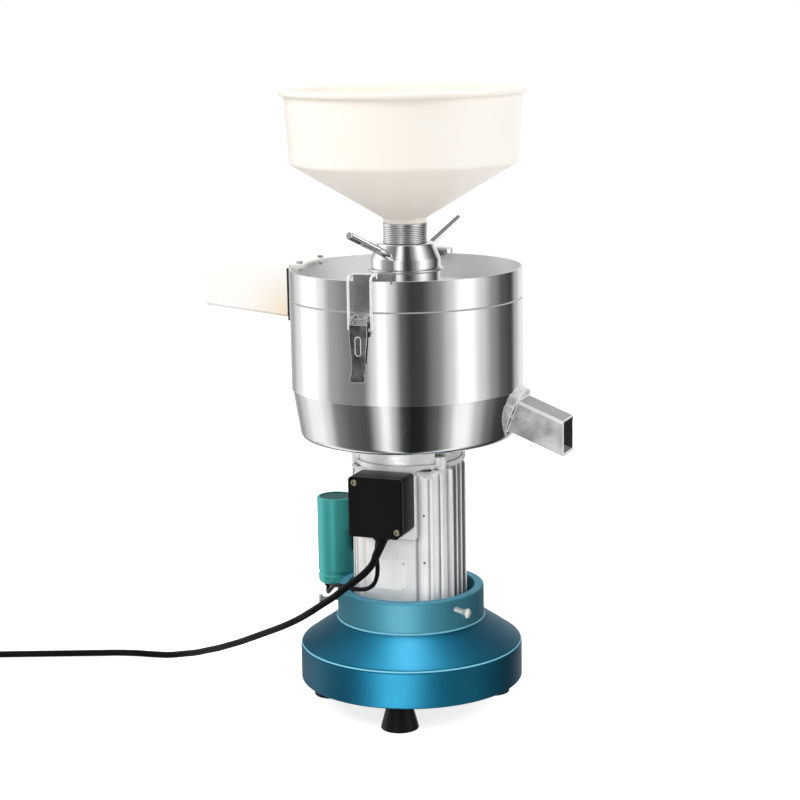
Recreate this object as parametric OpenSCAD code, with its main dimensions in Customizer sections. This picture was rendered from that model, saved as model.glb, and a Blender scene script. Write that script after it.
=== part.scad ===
// Upright soybean grinder: a vertical motor in a round base drives a stone and a
// sieve basket inside a steel drum. Milk leaves by the spout, residue by the chute.
// The vertical axis is Z. +X is the milk spout, -X the residue chute, -Y the front latch.

/* [Base] */
// Height of each rubber foot
foot_h = 32; // [20:1:50]
// Diameter of a foot where it meets the base
foot_top_d = 26; // [20:1:32]
// Diameter of a foot on the floor
foot_bottom_d = 43; // [34:1:56]
// Radius of the circle that the feet stand on
foot_circle_r = 96.5; // [88:0.5:102]
// Angle of the front foot
foot_angle = -77; // [-90:1:-60]
// Outer radius of the base's skirt
skirt_r = 128; // [120:1:150]
// Height of the skirt's upright side
skirt_h = 42.5; // [34:0.5:60]
// Height of the cone above the skirt
cone_h = 29.5; // [18:0.5:40]
// Height of the collar round the motor
socket_h = 36; // [28:1:60]
// Wall of the collar round the motor
socket_wall = 11; // [8:0.5:18]
// Room between the motor's corners and the collar
socket_gap = 7.5; // [5:0.5:14]
// Wall of the base casting
casting_wall = 6; // [4:0.5:10]
// Rounding of the base's outer edges
casting_round = 3; // [1:0.5:6]
// Diameter of the screws that hold the motor in the collar
set_screw_d = 6; // [5:1:8]
// Length of a set screw that stands out of the collar
set_screw_out = 18; // [10:1:30]
// Depth of the set screws below the collar's top
set_screw_drop = 12; // [9:1:16]

/* [Motor] */
// Half width of the motor over its fins
motor_half = 61; // [58:1:66]
// Distance from the axis to the flats on the motor's corners
motor_corner = 66; // [64:0.5:70]
// Angle of the motor's corners from the spout's side
corner_angle = 32; // [30:1:45]
// Depth of the cooling fins
fin_depth = 6; // [3:0.5:7]
// Thickness of a cooling fin
fin_t = 4; // [2:0.2:6]
// Distance from fin to fin
fin_pitch = 14; // [8:0.5:16]
// Length of the finned housing
housing_h = 164; // [140:1:200]
// Height of the upper end shield
shield_h = 31; // [27:1:40]
// Outer radius of the stator
stator_r = 51; // [46:0.5:52]
// Radius of the rotor
rotor_r = 30; // [25:0.5:33]
// Radius of the shaft in its bearings
shaft_r = 10; // [8:0.5:12]
// Outer radius of the bearings
bearing_r = 23.5; // [20:0.5:26]
// Thickness of the bearings
bearing_h = 14; // [10:1:16]
// Radius of the circle of the through bolts
bolt_circle_r = 58; // [57:0.5:59]

/* [Electrics] */
// Width of the terminal box
box_w = 64; // [50:1:72]
// Height of the terminal box
box_h = 68; // [55:1:80]
// Depth of the terminal box with its cover
box_d = 38; // [30:1:50]
// Thickness of the terminal box's cover
cover_t = 7; // [5:0.5:10]
// Radius of the capacitor's can
can_r = 22.5; // [18:0.5:25]
// Height of the capacitor's can
can_h = 103.5; // [70:0.5:120]
// Distance of the capacitor from the axis
can_out = 107.5; // [107:0.5:112]
// Angle of the capacitor about the axis
can_angle = 165; // [155:1:175]
// Diameter of the mains cord
cord_d = 8; // [6:0.5:8]
// Diameter of the capacitor's lead
lead_d = 5; // [4:0.5:5]

/* [Drum] */
// Outer radius of the drum and of the lid's ring
drum_r = 131; // [128:0.5:145]
// Radius of the bowl's floor edge
bowl_floor_r = 122; // [112:0.5:124]
// Height of the cast bowl
bowl_h = 56; // [52:1:70]
// Height of the drum's upright wall
wall_h = 100.5; // [92:0.5:120]
// Height of the lid's ring
ring_h = 33; // [28:1:50]
// Thickness of the drum's sheet steel
sheet_t = 2; // [1.5:0.1:3]
// Wall of the cast bowl
bowl_t = 5; // [4:0.5:7]
// Thickness of the lid's gasket
gasket_t = 1.5; // [1:0.1:2.5]

/* [Outlets] */
// Width of the milk spout
spout_w = 38; // [30:1:42]
// Height of the milk spout across its slope
spout_h = 37; // [30:1:42]
// Wall of the milk spout
spout_t = 2.5; // [1.5:0.5:4]
// Distance from the axis to the spout's mouth
spout_reach = 190; // [170:1:230]
// Slope of the milk spout
spout_slope = 21.5; // [14:0.5:24]
// Distance from the axis to the chute's mouth
chute_reach = 238; // [200:1:280]
// Width of the chute at the drum
chute_root_w = 92; // [70:1:100]
// Width of the chute's mouth
chute_mouth_w = 58; // [46:1:70]
// Height of the chute's mouth
chute_mouth_h = 42; // [38:1:52]
// Wall of the chute
chute_t = 3; // [2:0.5:4]

/* [Grinding] */
// Radius of the grinding stones
stone_r = 50; // [44:1:54]
// Thickness of each stone
stone_h = 39; // [30:1:40]
// Gap between the stones as set
stone_gap = 1; // [0.8:0.1:2]
// Radius of the upper stone's eye
eye_r = 20; // [19:0.5:24]
// Radial room from the drum's outside to the sieve basket's rim
basket_room = 16; // [14:1:23]
// Height of the sieve basket
basket_h = 92; // [86:1:94]
// Number of windows in the sieve basket
basket_windows = 24; // [12:1:32]

/* [Feed] */
// Outer radius of the threaded feed tube
tube_r = 24.8; // [23:0.1:27]
// Bore radius of the feed tube
tube_bore_r = 19.6; // [17:0.1:20]
// Height of the feed tube above the collar
tube_show = 24; // [15:1:35]
// Radius of the lid's centre boss
boss_r = 38.5; // [35:0.5:42]
// Radius of the flange on top of the boss
boss_flange_r = 42.2; // [41:0.1:46]
// Radius of the adjusting collar's foot
collar_r = 39.2; // [36:0.1:42]
// Radius of the adjusting collar's top
collar_top_r = 31.5; // [30:0.1:34]
// Height of the adjusting collar
collar_h = 20.7; // [18:0.1:32]
// Height of the adjusting collar's upright foot
collar_foot_h = 8.5; // [7:0.5:12]
// Diameter of an adjusting handle
handle_d = 9; // [7:0.5:9.5]
// Distance from the axis to a handle's tip
handle_reach = 105.5; // [85:0.5:115]
// Upward slope of the handles
handle_slope = 21.7; // [10:0.1:26]
// Turn of the handles about the axis
handle_angle = 76.3; // [0:0.1:180]

/* [Hopper] */
// Outer radius of the hopper's neck
neck_r = 24.2; // [22:0.1:26]
// Height of the hopper's neck
neck_h = 5; // [3:0.5:15]
// Radius where the hopper's cone meets its wall
hopper_r = 127; // [110:0.5:140]
// Radius at the top of the hopper's wall
hopper_top_r = 131.7; // [128:0.1:145]
// Height of the hopper's cone
hopper_cone_h = 62; // [45:1:80]
// Height of the hopper's wall
hopper_wall_h = 76; // [50:1:100]
// Thickness of the hopper's plastic
hopper_t = 3; // [2:0.5:5]
// Radius of the bead on the hopper's rim
bead_r = 3.2; // [2.2:0.1:4]
// Radius of the hopper's throat
throat_r = 16.5; // [14:0.5:16.5]

/* [Latches] */
// Distance of a lever's pivot from the drum
pivot_out = 9; // [8:0.5:12]
// Depth of a lever's pivot below the seam
pivot_drop = 6; // [5.5:0.5:14]
// Distance between a lever's pivot and its bail's pivot
bail_arm = 10; // [8:0.5:11]
// Diameter of the bail's wire
wire_d = 3; // [2:0.2:3.4]
// Width of a lever
lever_w = 20.4; // [19:0.2:24]
// Length of a lever below its pivot
lever_l = 66.5; // [60:0.5:80]
// Thickness of the latches' sheet steel
latch_t = 1.5; // [1:0.1:1.7]
// Width of the latch keeper
keeper_w = 20; // [12:0.5:20]
// Height of the bail's hook above the ring's rim
hook_rise = 4.5; // [1:0.5:6]
// Turn of the front latch about the axis
latch_turn = 1; // [0:0.5:10]
// Turn of the rear latch about the axis
rear_latch_turn = 4; // [0:0.5:10]

/* [Hidden] */
$fn = 96;
// Overlap of a cutting shape past the face that it cuts
cut = 1;
// Face to face clearance between pieces that move on each other
gap = 0.3;
// Radial clearance of a running fit
running = 0.08;
// Clearance between pieces that are fastened together
seat = 0.05;

// Heights of the base, from the floor up
base_z = foot_h;
skirt_top_z = base_z + skirt_h;
cone_top_z = skirt_top_z + cone_h;
socket_top_z = cone_top_z + socket_h;
socket_bore_r = motor_corner + socket_gap;
socket_r = socket_bore_r + socket_wall;
ledge_z = cone_top_z;
ledge_t = 6;
ledge_r = 50;
foot_boss_r = foot_top_d / 2 + 2;
foot_bolt_r = 3;
foot_angles = [foot_angle, 36, 112, 188];
set_screw_angles = [-corner_angle, 90, 180 + corner_angle];
set_screw_z = socket_top_z - set_screw_drop;

// Heights of the motor
lower_shield_h = bearing_h + 4;
housing_z = ledge_z + lower_shield_h;
shield_z = housing_z + housing_h;
drum_z = shield_z + shield_h;
body_half = motor_half - fin_depth;
shield_flange_h = 6;
shield_bell_r = motor_half - 1.5;
shield_cavity_r = 50;
shield_top_t = 9;
bearing_rim = 6;
lug_r = 8;
lug_h = 14;
through_bolt_r = 3;
stator_h = 80;
winding_h = 22;
rotor_gap = 0.5;
stator_z = housing_z + (housing_h - stator_h) / 2;
upper_bearing_z = drum_z - shield_top_t - bearing_h - 4;
fan_r = 45;
fan_h = 14;
fan_blades = 9;
fan_z = ledge_z - ledge_t - fan_h;
corner_angles = [corner_angle, 180 - corner_angle, 180 + corner_angle, -corner_angle];
corner_rib = 2.5;
fin_rows = floor(motor_half * 0.4 / fin_pitch);
pad_y = motor_half + 5;
pad_w = 60;
pad_h = box_h + 8;

// Places of the electrics
box_z = shield_z - box_h + 1;
box_front_y = pad_y + box_d;
box_wall = 3;
box_round = 4;
box_chamfer = 7;
cover_screw_inset = 7;
cover_screw_r = 2;
cover_screw_l = 14;
cover_screw_head = 2;
block_w = 34;
block_h = 16;
block_d = 14;
block_pitch = 10;
block_floor = 6;
block_hole_r = 2.5;
gland_r = 9.75;
gland_h = 7;
gland_y = -85;
gland_z = box_z - gland_h;
sleeve_h = 22;
sleeve_r = 5.2;
sleeve_tilt = 25;
sleeve_root = [2, -87.5, gland_z];
sleeve_end = sleeve_root - sleeve_h * [sin(sleeve_tilt), 0, cos(sleeve_tilt)];
lead_root = [1, -78, gland_z];
can_rise = 22;
can_z = cone_top_z + can_rise;
can_x = can_out * cos(can_angle);
can_y = can_out * sin(can_angle);
can_groove_rise = 10;
can_groove_z = can_z + can_groove_rise;
can_groove_h = 5;
can_groove_d = 0.8;
can_round = 2;
boot_r = 4.5;
boot_l = 5.5;
boot_aside = [-10, -6, 0];
boot_root = [can_x, can_y, can_z] + boot_aside;
boot_way = [0.3, -0.742, -0.6];
clip_t = 1.8;
clip_h = 22;
clip_z = can_z + can_h / 2;
clip_arc = 70;
clip_turn = 35;
clip_arm_w = 12;
clip_arm_in = 8;
clip_arm_over = 10;

// Heights of the drum
bowl_floor_z = drum_z + bowl_t;
wall_z = drum_z + bowl_h;
wall_top_z = wall_z + wall_h;
lid_z = wall_top_z + gasket_t;
rim_z = lid_z + ring_h;
bowl_top_r = drum_r - 1;
bowl_corner = 6;
spigot_h = 6;
spigot_t = 3.5;
bowl_boss_r = 30;
bowl_boss_z = drum_z + 28;
seal_r = 18;
seal_h = 10;
drum_bolt_r = 4;
drum_bolt_circle_r = 40;
lid_t = 2.5;
lid_hole_r = 30;
shelf_t = 2;
shelf_gap = 3;

// Grinding parts, from the shaft up
hub_z = bowl_boss_z + 5;
hub_t = 7;
hub_r = 54;
basket_r = drum_r - basket_room;
basket_t = 1.6;
basket_window_w = 2.4;
basket_window_foot = 8;
basket_window_head = 12;
basket_top_z = hub_z + basket_h;
basket_rim_w = 3;
labyrinth_r = bowl_boss_r + 3;
labyrinth_t = 3;
labyrinth_h = 12;
lower_stone_z = hub_z + hub_t;
upper_stone_z = lower_stone_z + stone_h + stone_gap;
nut_r = 15;
nut_h = 10;
nut_recess_r = 18;
nut_recess = 8;
furrows = 10;
furrow_w = 4;
furrow_d = 2;
furrow_l = 16;
shaft_foot_z = fan_z - 4;
shaft_top_z = lower_stone_z + stone_h - nut_recess + nut_h + 4;
shaft_core_r = shaft_r + 4;

// Feed parts, from the upper stone up
feed_flange_z = upper_stone_z + stone_h;
feed_flange_h = 8;
feed_flange_r = stone_r - 2;
stone_screw_r = 3;
stone_screw_circle_r = 36;
stone_screw_bite = 14;
boss_foot_r = 55;
boss_foot_h = 6;
boss_fillet = 2.4;
boss_bolt_r = 3;
boss_bolt_circle_r = 47;
boss_flange_h = 3;
boss_top_z = rim_z + 4;
collar_z = boss_top_z + gap;
collar_top_z = collar_z + collar_h;
tube_top_z = collar_top_z + tube_show;
handle_root_r = 30;
handle_entry_r = 37;
handle_entry_z = collar_z + collar_foot_h + (collar_r - handle_entry_r)
    * (collar_h - collar_foot_h) / (collar_r - collar_top_r);

// Heights of the hopper
neck_z = tube_top_z + gap;
neck_top_z = neck_z + neck_h;
cone_end_z = neck_top_z + hopper_cone_h;
hopper_top_z = cone_end_z + hopper_wall_h;
plug_in_h = 20;
plug_in_gap = 0.4;

// Places of the milk spout, along its own slope
spout_root_in = 13;
spout_root_x = drum_r - spout_root_in;
spout_mouth_z = drum_z + 8.4;
spout_flange_r = 28;
spout_flange_in = 3.5;
spout_flange_x = drum_r - spout_flange_in;
spout_ear_r = 10.5;
spout_ear_y = spout_w / 2 + 6;
spout_screw_r = 2.2;
spout_screw_l = 16;
spout_screw_room = 40;

// Places of the residue chute
chute_foot_z = lid_z - 24;
chute_top_z = rim_z + chute_t;
chute_mouth_z = chute_foot_z + 8;
chute_round = 5;
chute_tuck = 14;
chute_flange_t = 2.5;
chute_flange_arc = 41;
chute_lip_arc = 34;
chute_lip_in = 15;
chute_screw_r = 2;
chute_screw_in = 8;
chute_screw_step = 14;
chute_tab_w = 13;
chute_tab_t = 2;
window_h = 20;
window_w = chute_root_w - 14;

// Places of a latch, in a frame whose +X leads out of the drum
pivot_x = drum_r + pivot_out;
pivot_z = wall_top_z - pivot_drop;
bail_z = pivot_z - bail_arm;
ear_in = 6.2;
ear_out = 8.2;
ear_r = 4.5;
pin_r = 1.75;
pin_head_r = 2.6;
pin_head_h = 0.6;
latch_base_w = 20;
latch_base_h = 21;
web_x = pivot_x + ear_r + 1.2;
lever_half = lever_w / 2;
lever_tip_half = lever_half - 2.4;
lever_cheek = 18;
lever_rim = 4;
tab_l = 20;
tab_slope = 16;
wire_r = wire_d / 2;
bail_y = lever_half + 1.3 + wire_r;
bail_bend = 5;
hook_z = rim_z + hook_rise + wire_r;
hook_x = drum_r - 7.5;
keeper_top_z = hook_z + wire_r - 0.5;
keeper_crest_x = hook_x + wire_r + 3.5;
tongue_x = hook_x - 7;
tongue_z = hook_z - wire_r - 0.5;
keeper_drop = ring_h - 1;
lug_w = 17;

// Height of the coil's lower layer and the end of the capacitor's boot
tie_t = 1;
coil_z = tie_t + gap + cord_d / 2;
boot_end = boot_root + boot_l * boot_way;

// Route of the mains cord, from its sleeve to the coil
cord_route = [sleeve_end, [-10.5, -87.5, 185], [-16, -87, 178], [-24, -87, 170], [-35, -86, 161],
    [-48, -84, 151], [-63, -80, 139], [-80, -74, 127], [-97, -68, 115], [-115, -60, 103],
    [-134, -53, 92], [-153, -45, 82], [-173, -36, 72], [-193, -27, 62], [-213, -17, 52],
    [-233, -8, 43], [-253, 2, 34], [-273, 12, 26], [-294, 21, 18], [-315, 28, 12], [-337, 32, 7],
    [-360, 33, 5], [-383, 30, 5], [-406, 24, 5], [-429, 15, 5], [-452, 6, 5], [-475, -3, 5],
    [-498, -12, 5], [-521, -21, 5], [-544, -30, 5], [-567, -39, 5], [-590, -48, 5],
    [-613, -57, coil_z], [-636, -66, coil_z]];
// Route of the capacitor's lead, from the gland to the boot under the can
lead_route = [lead_root, [1, -78, 200], [1, -78, 186], [0, -78, 173], [-5, -77, 161],
    [-14, -75, 153], [-27, -70, 148], [-41, -64, 146], [-55, -57, 145], [-68, -49, 144],
    [-79, -39, 140], [-89, -26, 132], [-98, -12, 124], [-106, 3, 119],
    boot_end + 5 * boot_way, boot_end];

// Winding of the coiled cord: in and out again, one layer on the other
coil_gap = 0.6;
coil_pitch = cord_d + coil_gap;
coil_r = 52;
coil_turns = 2;
coil_end_turns = 2 * coil_turns + 0.25;
coil_rings = 24;
coil_tail = 24;
coil_start = cord_route[len(cord_route) - 1];
coil_heading = coil_start - cord_route[len(cord_route) - 2];
coil_angle = atan2(coil_heading[1], coil_heading[0]) + 90;
coil_lead = cord_d * coil_heading / norm(coil_heading);
coil_center = [coil_start[0] + coil_lead[0], coil_start[1] + coil_lead[1], 0]
    - coil_r * [cos(coil_angle), sin(coil_angle), 0];
tie_turn = 0.5;
tie_w = 14;
plug_l = 36;
plug_w = 30;
plug_neck_l = 20;
plug_pin_l = 18;
plug_pin_w = 6.3;
plug_pin_t = 1.6;
plug_pin_step = 12.7;

// Points of an arc about c, from angle a to angle b
function arc(c, r, a, b, n = 8) =
    [for (i = [0:n]) c + r * [cos(a + (b - a) * i / n), sin(a + (b - a) * i / n)]];

function unit(v) = v / norm(v);

// Direction of a route at its point i
function heading(route, i) =
    let (last = len(route) - 1)
    unit(i == 0 ? route[1] - route[0]
        : i == last ? route[last] - route[last - 1]
        : unit(route[i + 1] - route[i]) + unit(route[i] - route[i - 1]));

// Sideways directions carried along a route without twist
function sideways(route, side, i = 0) =
    i == len(route) ? []
    : let (h = heading(route, i), s = unit(side - (side * h) * h))
        concat([s], sideways(route, s, i + 1));

// Point of the coil after t turns
function coil_radius(t) = coil_r - coil_pitch * min(t, 2 * coil_turns - t);
function coil_climb(t) = min(1, max(0, (t - coil_turns) * 2 + 0.5));
function coil_point(t) =
    coil_center + [coil_radius(t) * cos(coil_angle - 360 * t),
    coil_radius(t) * sin(coil_angle - 360 * t), coil_z + coil_pitch * coil_climb(t)];
coil_steps = coil_rings * coil_end_turns;
coil_loops = [for (i = [0:coil_steps]) coil_point(i / coil_rings)];
coil_end_angle = coil_angle - 360 * coil_end_turns;
coil_out = [sin(coil_end_angle), -cos(coil_end_angle), 0];
coil_end = coil_loops[coil_steps] + coil_tail * coil_out;
coil_route = concat([coil_start], coil_loops, [coil_end]);
plug_z = coil_end[2];

// Least gap between turns of the coil that lie apart along the cord
coil_self_gap = min([for (i = [0:2:coil_steps]) for (j = [i + 12:1:coil_steps])
    norm(coil_loops[i] - coil_loops[j])]) - cord_d;
echo(least_gap_of_the_coil_to_itself = coil_self_gap);

module ring(outer, inner, h) {
    difference() {
        cylinder(r = outer, h = h);
        translate([0, 0, -cut]) cylinder(r = inner, h = h + 2 * cut);
    }
}

module around(n, start = 0) {
    for (i = [0:n - 1]) rotate([0, 0, start + i * 360 / n]) children();
}

// Bolt with its head's underside at z = 0 and its shank below
module hex_bolt(r, shank, head_h) {
    translate([0, 0, -shank]) cylinder(r = r, h = shank);
    cylinder(r = 1.9 * r, h = head_h, $fn = 6);
}

module rounded_plate(w, h, r) {
    square([w - 2 * r, h], center = true);
    square([w, h - 2 * r], center = true);
    for (x = [-1, 1]) for (y = [-1, 1]) translate([x * (w / 2 - r), y * (h / 2 - r)]) circle(r);
}

// Tube of even thickness along a route
module swept(route, d, sides) {
    side = sideways(route, abs(heading(route, 0)[2]) > 0.9 ? [1, 0, 0] : [0, 0, 1]);
    last = len(route) - 1;
    points = [for (i = [0:last]) let (h = heading(route, i), s = side[i], b = cross(h, s))
        for (k = [0:sides - 1]) route[i] + d / 2 * (cos(360 * k / sides) * s + sin(360 * k / sides) * b)];
    walls = [for (i = [0:last - 1]) for (k = [0:sides - 1])
        let (a = i * sides + k, b = i * sides + (k + 1) % sides)
        each [[a, b + sides, b], [a, a + sides, b + sides]]];
    ends = [for (k = [1:sides - 2]) each [[0, k, k + 1],
        [last * sides, last * sides + k + 1, last * sides + k]]];
    polyhedron(points, concat(walls, ends));
}

module at_feet() {
    for (a = foot_angles) rotate([0, 0, a]) translate([foot_circle_r, 0, 0]) children();
}

module at_corners() {
    for (a = corner_angles) rotate([0, 0, a]) translate([bolt_circle_r, 0, 0]) children();
}

// Base

module base_casting() {
    slope = atan2(cone_h, skirt_r - socket_r);
    edge = casting_round * tan((90 - slope) / 2);
    section = concat(
        [[skirt_r - casting_wall, base_z], [skirt_r, base_z]],
        arc([skirt_r - casting_round, skirt_top_z - edge], casting_round, 0, 90 - slope),
        [[socket_r + 2, cone_top_z - 1], [socket_r, cone_top_z + 1.5]],
        arc([socket_r - casting_round, socket_top_z - casting_round], casting_round, 0, 90),
        [[socket_bore_r, socket_top_z], [socket_bore_r, ledge_z], [ledge_r, ledge_z],
        [ledge_r, ledge_z - ledge_t], [socket_bore_r + 1, ledge_z - ledge_t],
        [skirt_r - casting_wall, skirt_top_z - casting_wall]]);
    color("#1f86b8") difference() {
        union() {
            rotate_extrude($fn = 144) polygon(section);
            at_feet() translate([0, 0, base_z]) cylinder(r = foot_boss_r, h = skirt_h + 8);
        }
        at_feet() translate([0, 0, base_z - cut]) cylinder(r = foot_bolt_r + seat, h = 26);
        for (a = set_screw_angles) rotate([0, 0, a]) translate([socket_bore_r - 5, 0, set_screw_z])
            rotate([0, 90, 0]) cylinder(r = set_screw_d / 2 + seat, h = socket_wall + 10);
    }
}

module rubber_feet() {
    head_room = 8;
    color("#181818") at_feet() difference() {
        cylinder(d1 = foot_bottom_d, d2 = foot_top_d, h = foot_h);
        translate([0, 0, -cut]) cylinder(r = foot_bolt_r + seat, h = foot_h + 2 * cut);
        translate([0, 0, -cut]) cylinder(r = 2.4 * foot_bolt_r, h = head_room + cut);
    }
}

module foot_bolts() {
    head_room = 8;
    color("silver") at_feet() translate([0, 0, head_room]) rotate([180, 0, 0])
        hex_bolt(foot_bolt_r, foot_h - head_room + 20, 4);
}

module motor_set_screws() {
    tip_r = [for (a = set_screw_angles) a == 90 ? body_half : motor_corner];
    color("silver") for (i = [0:2]) rotate([0, 0, set_screw_angles[i]])
        translate([socket_r + set_screw_out, 0, set_screw_z]) rotate([0, 90, 0])
        hex_bolt(set_screw_d / 2, socket_r + set_screw_out - tip_r[i] - gap, 4.5);
}

// Motor

// Square with a flat across each corner
module motor_outline(half, corner) {
    x = (corner - half * sin(corner_angle)) / cos(corner_angle);
    y = (corner - half * cos(corner_angle)) / sin(corner_angle);
    polygon([[half, -y], [half, y], [x, half], [-x, half], [-half, y], [-half, -y], [-x, -half],
        [x, -half]]);
}

module housing_section() {
    motor_outline(body_half, motor_corner - corner_rib);
    for (a = [0, 90, 180]) rotate(a) for (i = [-fin_rows - 1:fin_rows])
        translate([body_half - cut, (i + 0.5) * fin_pitch - fin_t / 2]) square([fin_depth + cut, fin_t]);
    for (x = [0, 1]) for (y = [0, 1]) mirror([x, 0]) mirror([0, y]) rotate(corner_angle)
        for (t = [1.5, 16]) translate([motor_corner - corner_rib - cut, t]) square([corner_rib + cut, 4]);
    translate([-pad_w / 2, -motor_half]) square([pad_w, fin_depth + cut]);
}

module motor_housing() {
    shoulder = 12;
    envelope_r = motor_half + 10;
    color("#c9cbcd") difference() {
        union() {
            intersection() {
                translate([0, 0, housing_z]) linear_extrude(housing_h) housing_section();
                rotate_extrude() polygon([[0, housing_z], [envelope_r, housing_z],
                    [envelope_r, shield_z - shoulder], [motor_half + 0.5, shield_z], [0, shield_z]]);
            }
            translate([-box_w / 2, -pad_y, shield_z - pad_h])
                cube([box_w, pad_y - body_half, pad_h - shield_flange_h / 2]);
        }
        translate([0, 0, housing_z - cut]) cylinder(r = stator_r + seat, h = housing_h + 2 * cut);
        at_corners() translate([0, 0, housing_z - cut])
            cylinder(r = through_bolt_r + seat, h = housing_h + 2 * cut);
    }
}

module lower_end_shield() {
    color("#b9bbbe") difference() {
        translate([0, 0, ledge_z]) linear_extrude(lower_shield_h)
            motor_outline(motor_half - 2, motor_corner - 1);
        translate([0, 0, ledge_z - cut]) cylinder(r = shaft_r + 2, h = lower_shield_h + 2 * cut);
        translate([0, 0, housing_z - bearing_h]) cylinder(r = bearing_r + seat, h = bearing_h + cut);
        at_corners() translate([0, 0, housing_z - 12]) cylinder(r = through_bolt_r + seat, h = 12 + cut);
    }
}

module upper_end_shield() {
    bearing_top_z = upper_bearing_z + bearing_h;
    hub_foot_z = upper_bearing_z - 2;
    color("#c4c6c8") difference() {
        union() {
            translate([0, 0, shield_z]) cylinder(r = motor_half + 0.5, h = shield_flange_h);
            translate([0, 0, shield_z]) cylinder(r = shield_bell_r, h = shield_h);
            at_corners() translate([0, 0, shield_z]) cylinder(r = lug_r, h = lug_h);
        }
        translate([0, 0, shield_z - cut]) cylinder(r = shield_cavity_r,
            h = hub_foot_z - shield_z + cut);
        translate([0, 0, hub_foot_z - cut]) ring(shield_cavity_r, bearing_r + bearing_rim,
            drum_z - shield_top_t - hub_foot_z + cut);
        translate([0, 0, hub_foot_z - cut]) cylinder(r = bearing_r + seat,
            h = bearing_top_z - hub_foot_z + cut);
        translate([0, 0, shield_z]) cylinder(r = shaft_r + 1, h = shield_h + cut);
        at_corners() translate([0, 0, shield_z - cut])
            cylinder(r = through_bolt_r + seat, h = lug_h + 2 * cut);
        around(4, 0) translate([drum_bolt_circle_r, 0, drum_z - shield_top_t - cut])
            cylinder(r = drum_bolt_r + seat, h = shield_top_t + 2 * cut);
        at_corners() translate([0, 0, shield_z + lug_h]) cylinder(r = 1.9 * through_bolt_r + 1, h = shield_h);
    }
}

module through_bolts() {
    color("silver") at_corners() translate([0, 0, shield_z + lug_h])
        hex_bolt(through_bolt_r, housing_h + lug_h + 8, 5);
}

module stator_core() {
    color("dimgray") translate([0, 0, stator_z]) ring(stator_r, rotor_r + rotor_gap, stator_h);
}

module stator_windings() {
    bundle_in = rotor_r + 5;
    bundle_out = stator_r - 3;
    round_r = 5;
    section = concat([[bundle_in, 0], [bundle_out, 0]],
        arc([bundle_out - round_r, winding_h - round_r], round_r, 0, 90),
        arc([bundle_in + round_r, winding_h - round_r], round_r, 90, 180));
    color("#a65a2a") {
        translate([0, 0, stator_z + stator_h]) rotate_extrude() polygon(section);
        translate([0, 0, stator_z]) mirror([0, 0, 1]) rotate_extrude() polygon(section);
    }
}

module bearing() {
    race = 4;
    color("gainsboro") difference() {
        ring(bearing_r, shaft_r + running / 2, bearing_h);
        for (z = [-cut, bearing_h - 1]) translate([0, 0, z])
            ring(bearing_r - race, shaft_r + race, 1 + cut);
    }
}

module lower_bearing() {
    translate([0, 0, housing_z - bearing_h]) bearing();
}

module upper_bearing() {
    translate([0, 0, upper_bearing_z]) bearing();
}

// Electrics

// Outline of the terminal box, seen from the front, with its lower right corner cut
module box_outline() {
    difference() {
        rounded_plate(box_w, box_h, box_round);
        translate([box_w / 2, -box_h / 2]) rotate(45) square(box_chamfer * sqrt(2), center = true);
    }
}

module at_box_front(y) {
    translate([0, -y, box_z + box_h / 2]) rotate([90, 0, 0]) children();
}

module at_cover_screws() {
    for (s = [[-1, 1], [1, -1]]) translate([s[0] * (box_w / 2 - cover_screw_inset),
        s[1] * (box_h / 2 - cover_screw_inset - (s[1] < 0 ? 1 : 0)), 0]) children();
}

module terminal_box() {
    post_r = 4;
    depth = box_d - cover_t;
    color("#1a1a1c") at_box_front(pad_y) difference() {
        union() {
            difference() {
                linear_extrude(depth) box_outline();
                translate([0, 0, box_wall]) linear_extrude(depth)
                    rounded_plate(box_w - 4 * box_wall, box_h - 4 * box_wall, box_round);
            }
            at_cover_screws() cylinder(r = post_r, h = depth);
        }
        at_cover_screws() translate([0, 0, depth - 14]) cylinder(r = cover_screw_r + seat, h = 15);
    }
}

module terminal_cover() {
    skin = 2.5;
    step = 1.2;
    color("#202022") at_box_front(box_front_y - cover_t) difference() {
        union() {
            linear_extrude(cover_t - step) box_outline();
            linear_extrude(cover_t) intersection() {
                box_outline();
                rounded_plate(box_w - 2 * step, box_h - 2 * step, box_round);
            }
        }
        translate([0, 0, -cut]) linear_extrude(cover_t - skin + cut)
            rounded_plate(box_w - 8 * box_wall, box_h - 4 * box_wall, box_round);
        at_cover_screws() translate([0, 0, -cut]) cylinder(r = cover_screw_r + seat, h = cover_t + 2 * cut);
        at_cover_screws() translate([0, 0, cover_t - 2]) cylinder(r = 2 * cover_screw_r + 0.6, h = 3);
    }
}

module cover_screws() {
    color("khaki") at_box_front(box_front_y - 2) at_cover_screws() {
        cylinder(r = 2 * cover_screw_r, h = cover_screw_head);
        translate([0, 0, -cover_screw_l]) cylinder(r = cover_screw_r, h = cover_screw_l);
    }
}

module terminal_block() {
    color("ivory") at_box_front(pad_y + box_wall) difference() {
        translate([-block_w / 2, -block_h / 2, 0]) cube([block_w, block_h, block_d]);
        for (i = [-1:1]) translate([i * block_pitch, 0, block_floor]) cylinder(r = block_hole_r, h = block_d);
    }
}

module cable_gland() {
    color("#141414") {
        translate([0, gland_y, gland_z]) cylinder(r = gland_r, h = gland_h);
        translate(sleeve_end) rotate([0, sleeve_tilt, 0]) difference() {
            cylinder(r1 = cord_d / 2 + 0.6, r2 = sleeve_r, h = sleeve_h + 5);
            translate([0, 0, sleeve_h]) rotate([0, -sleeve_tilt, 0]) translate([0, 0, gland_h])
                cylinder(r = 2 * gland_r, h = sleeve_h);
        }
    }
}

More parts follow.
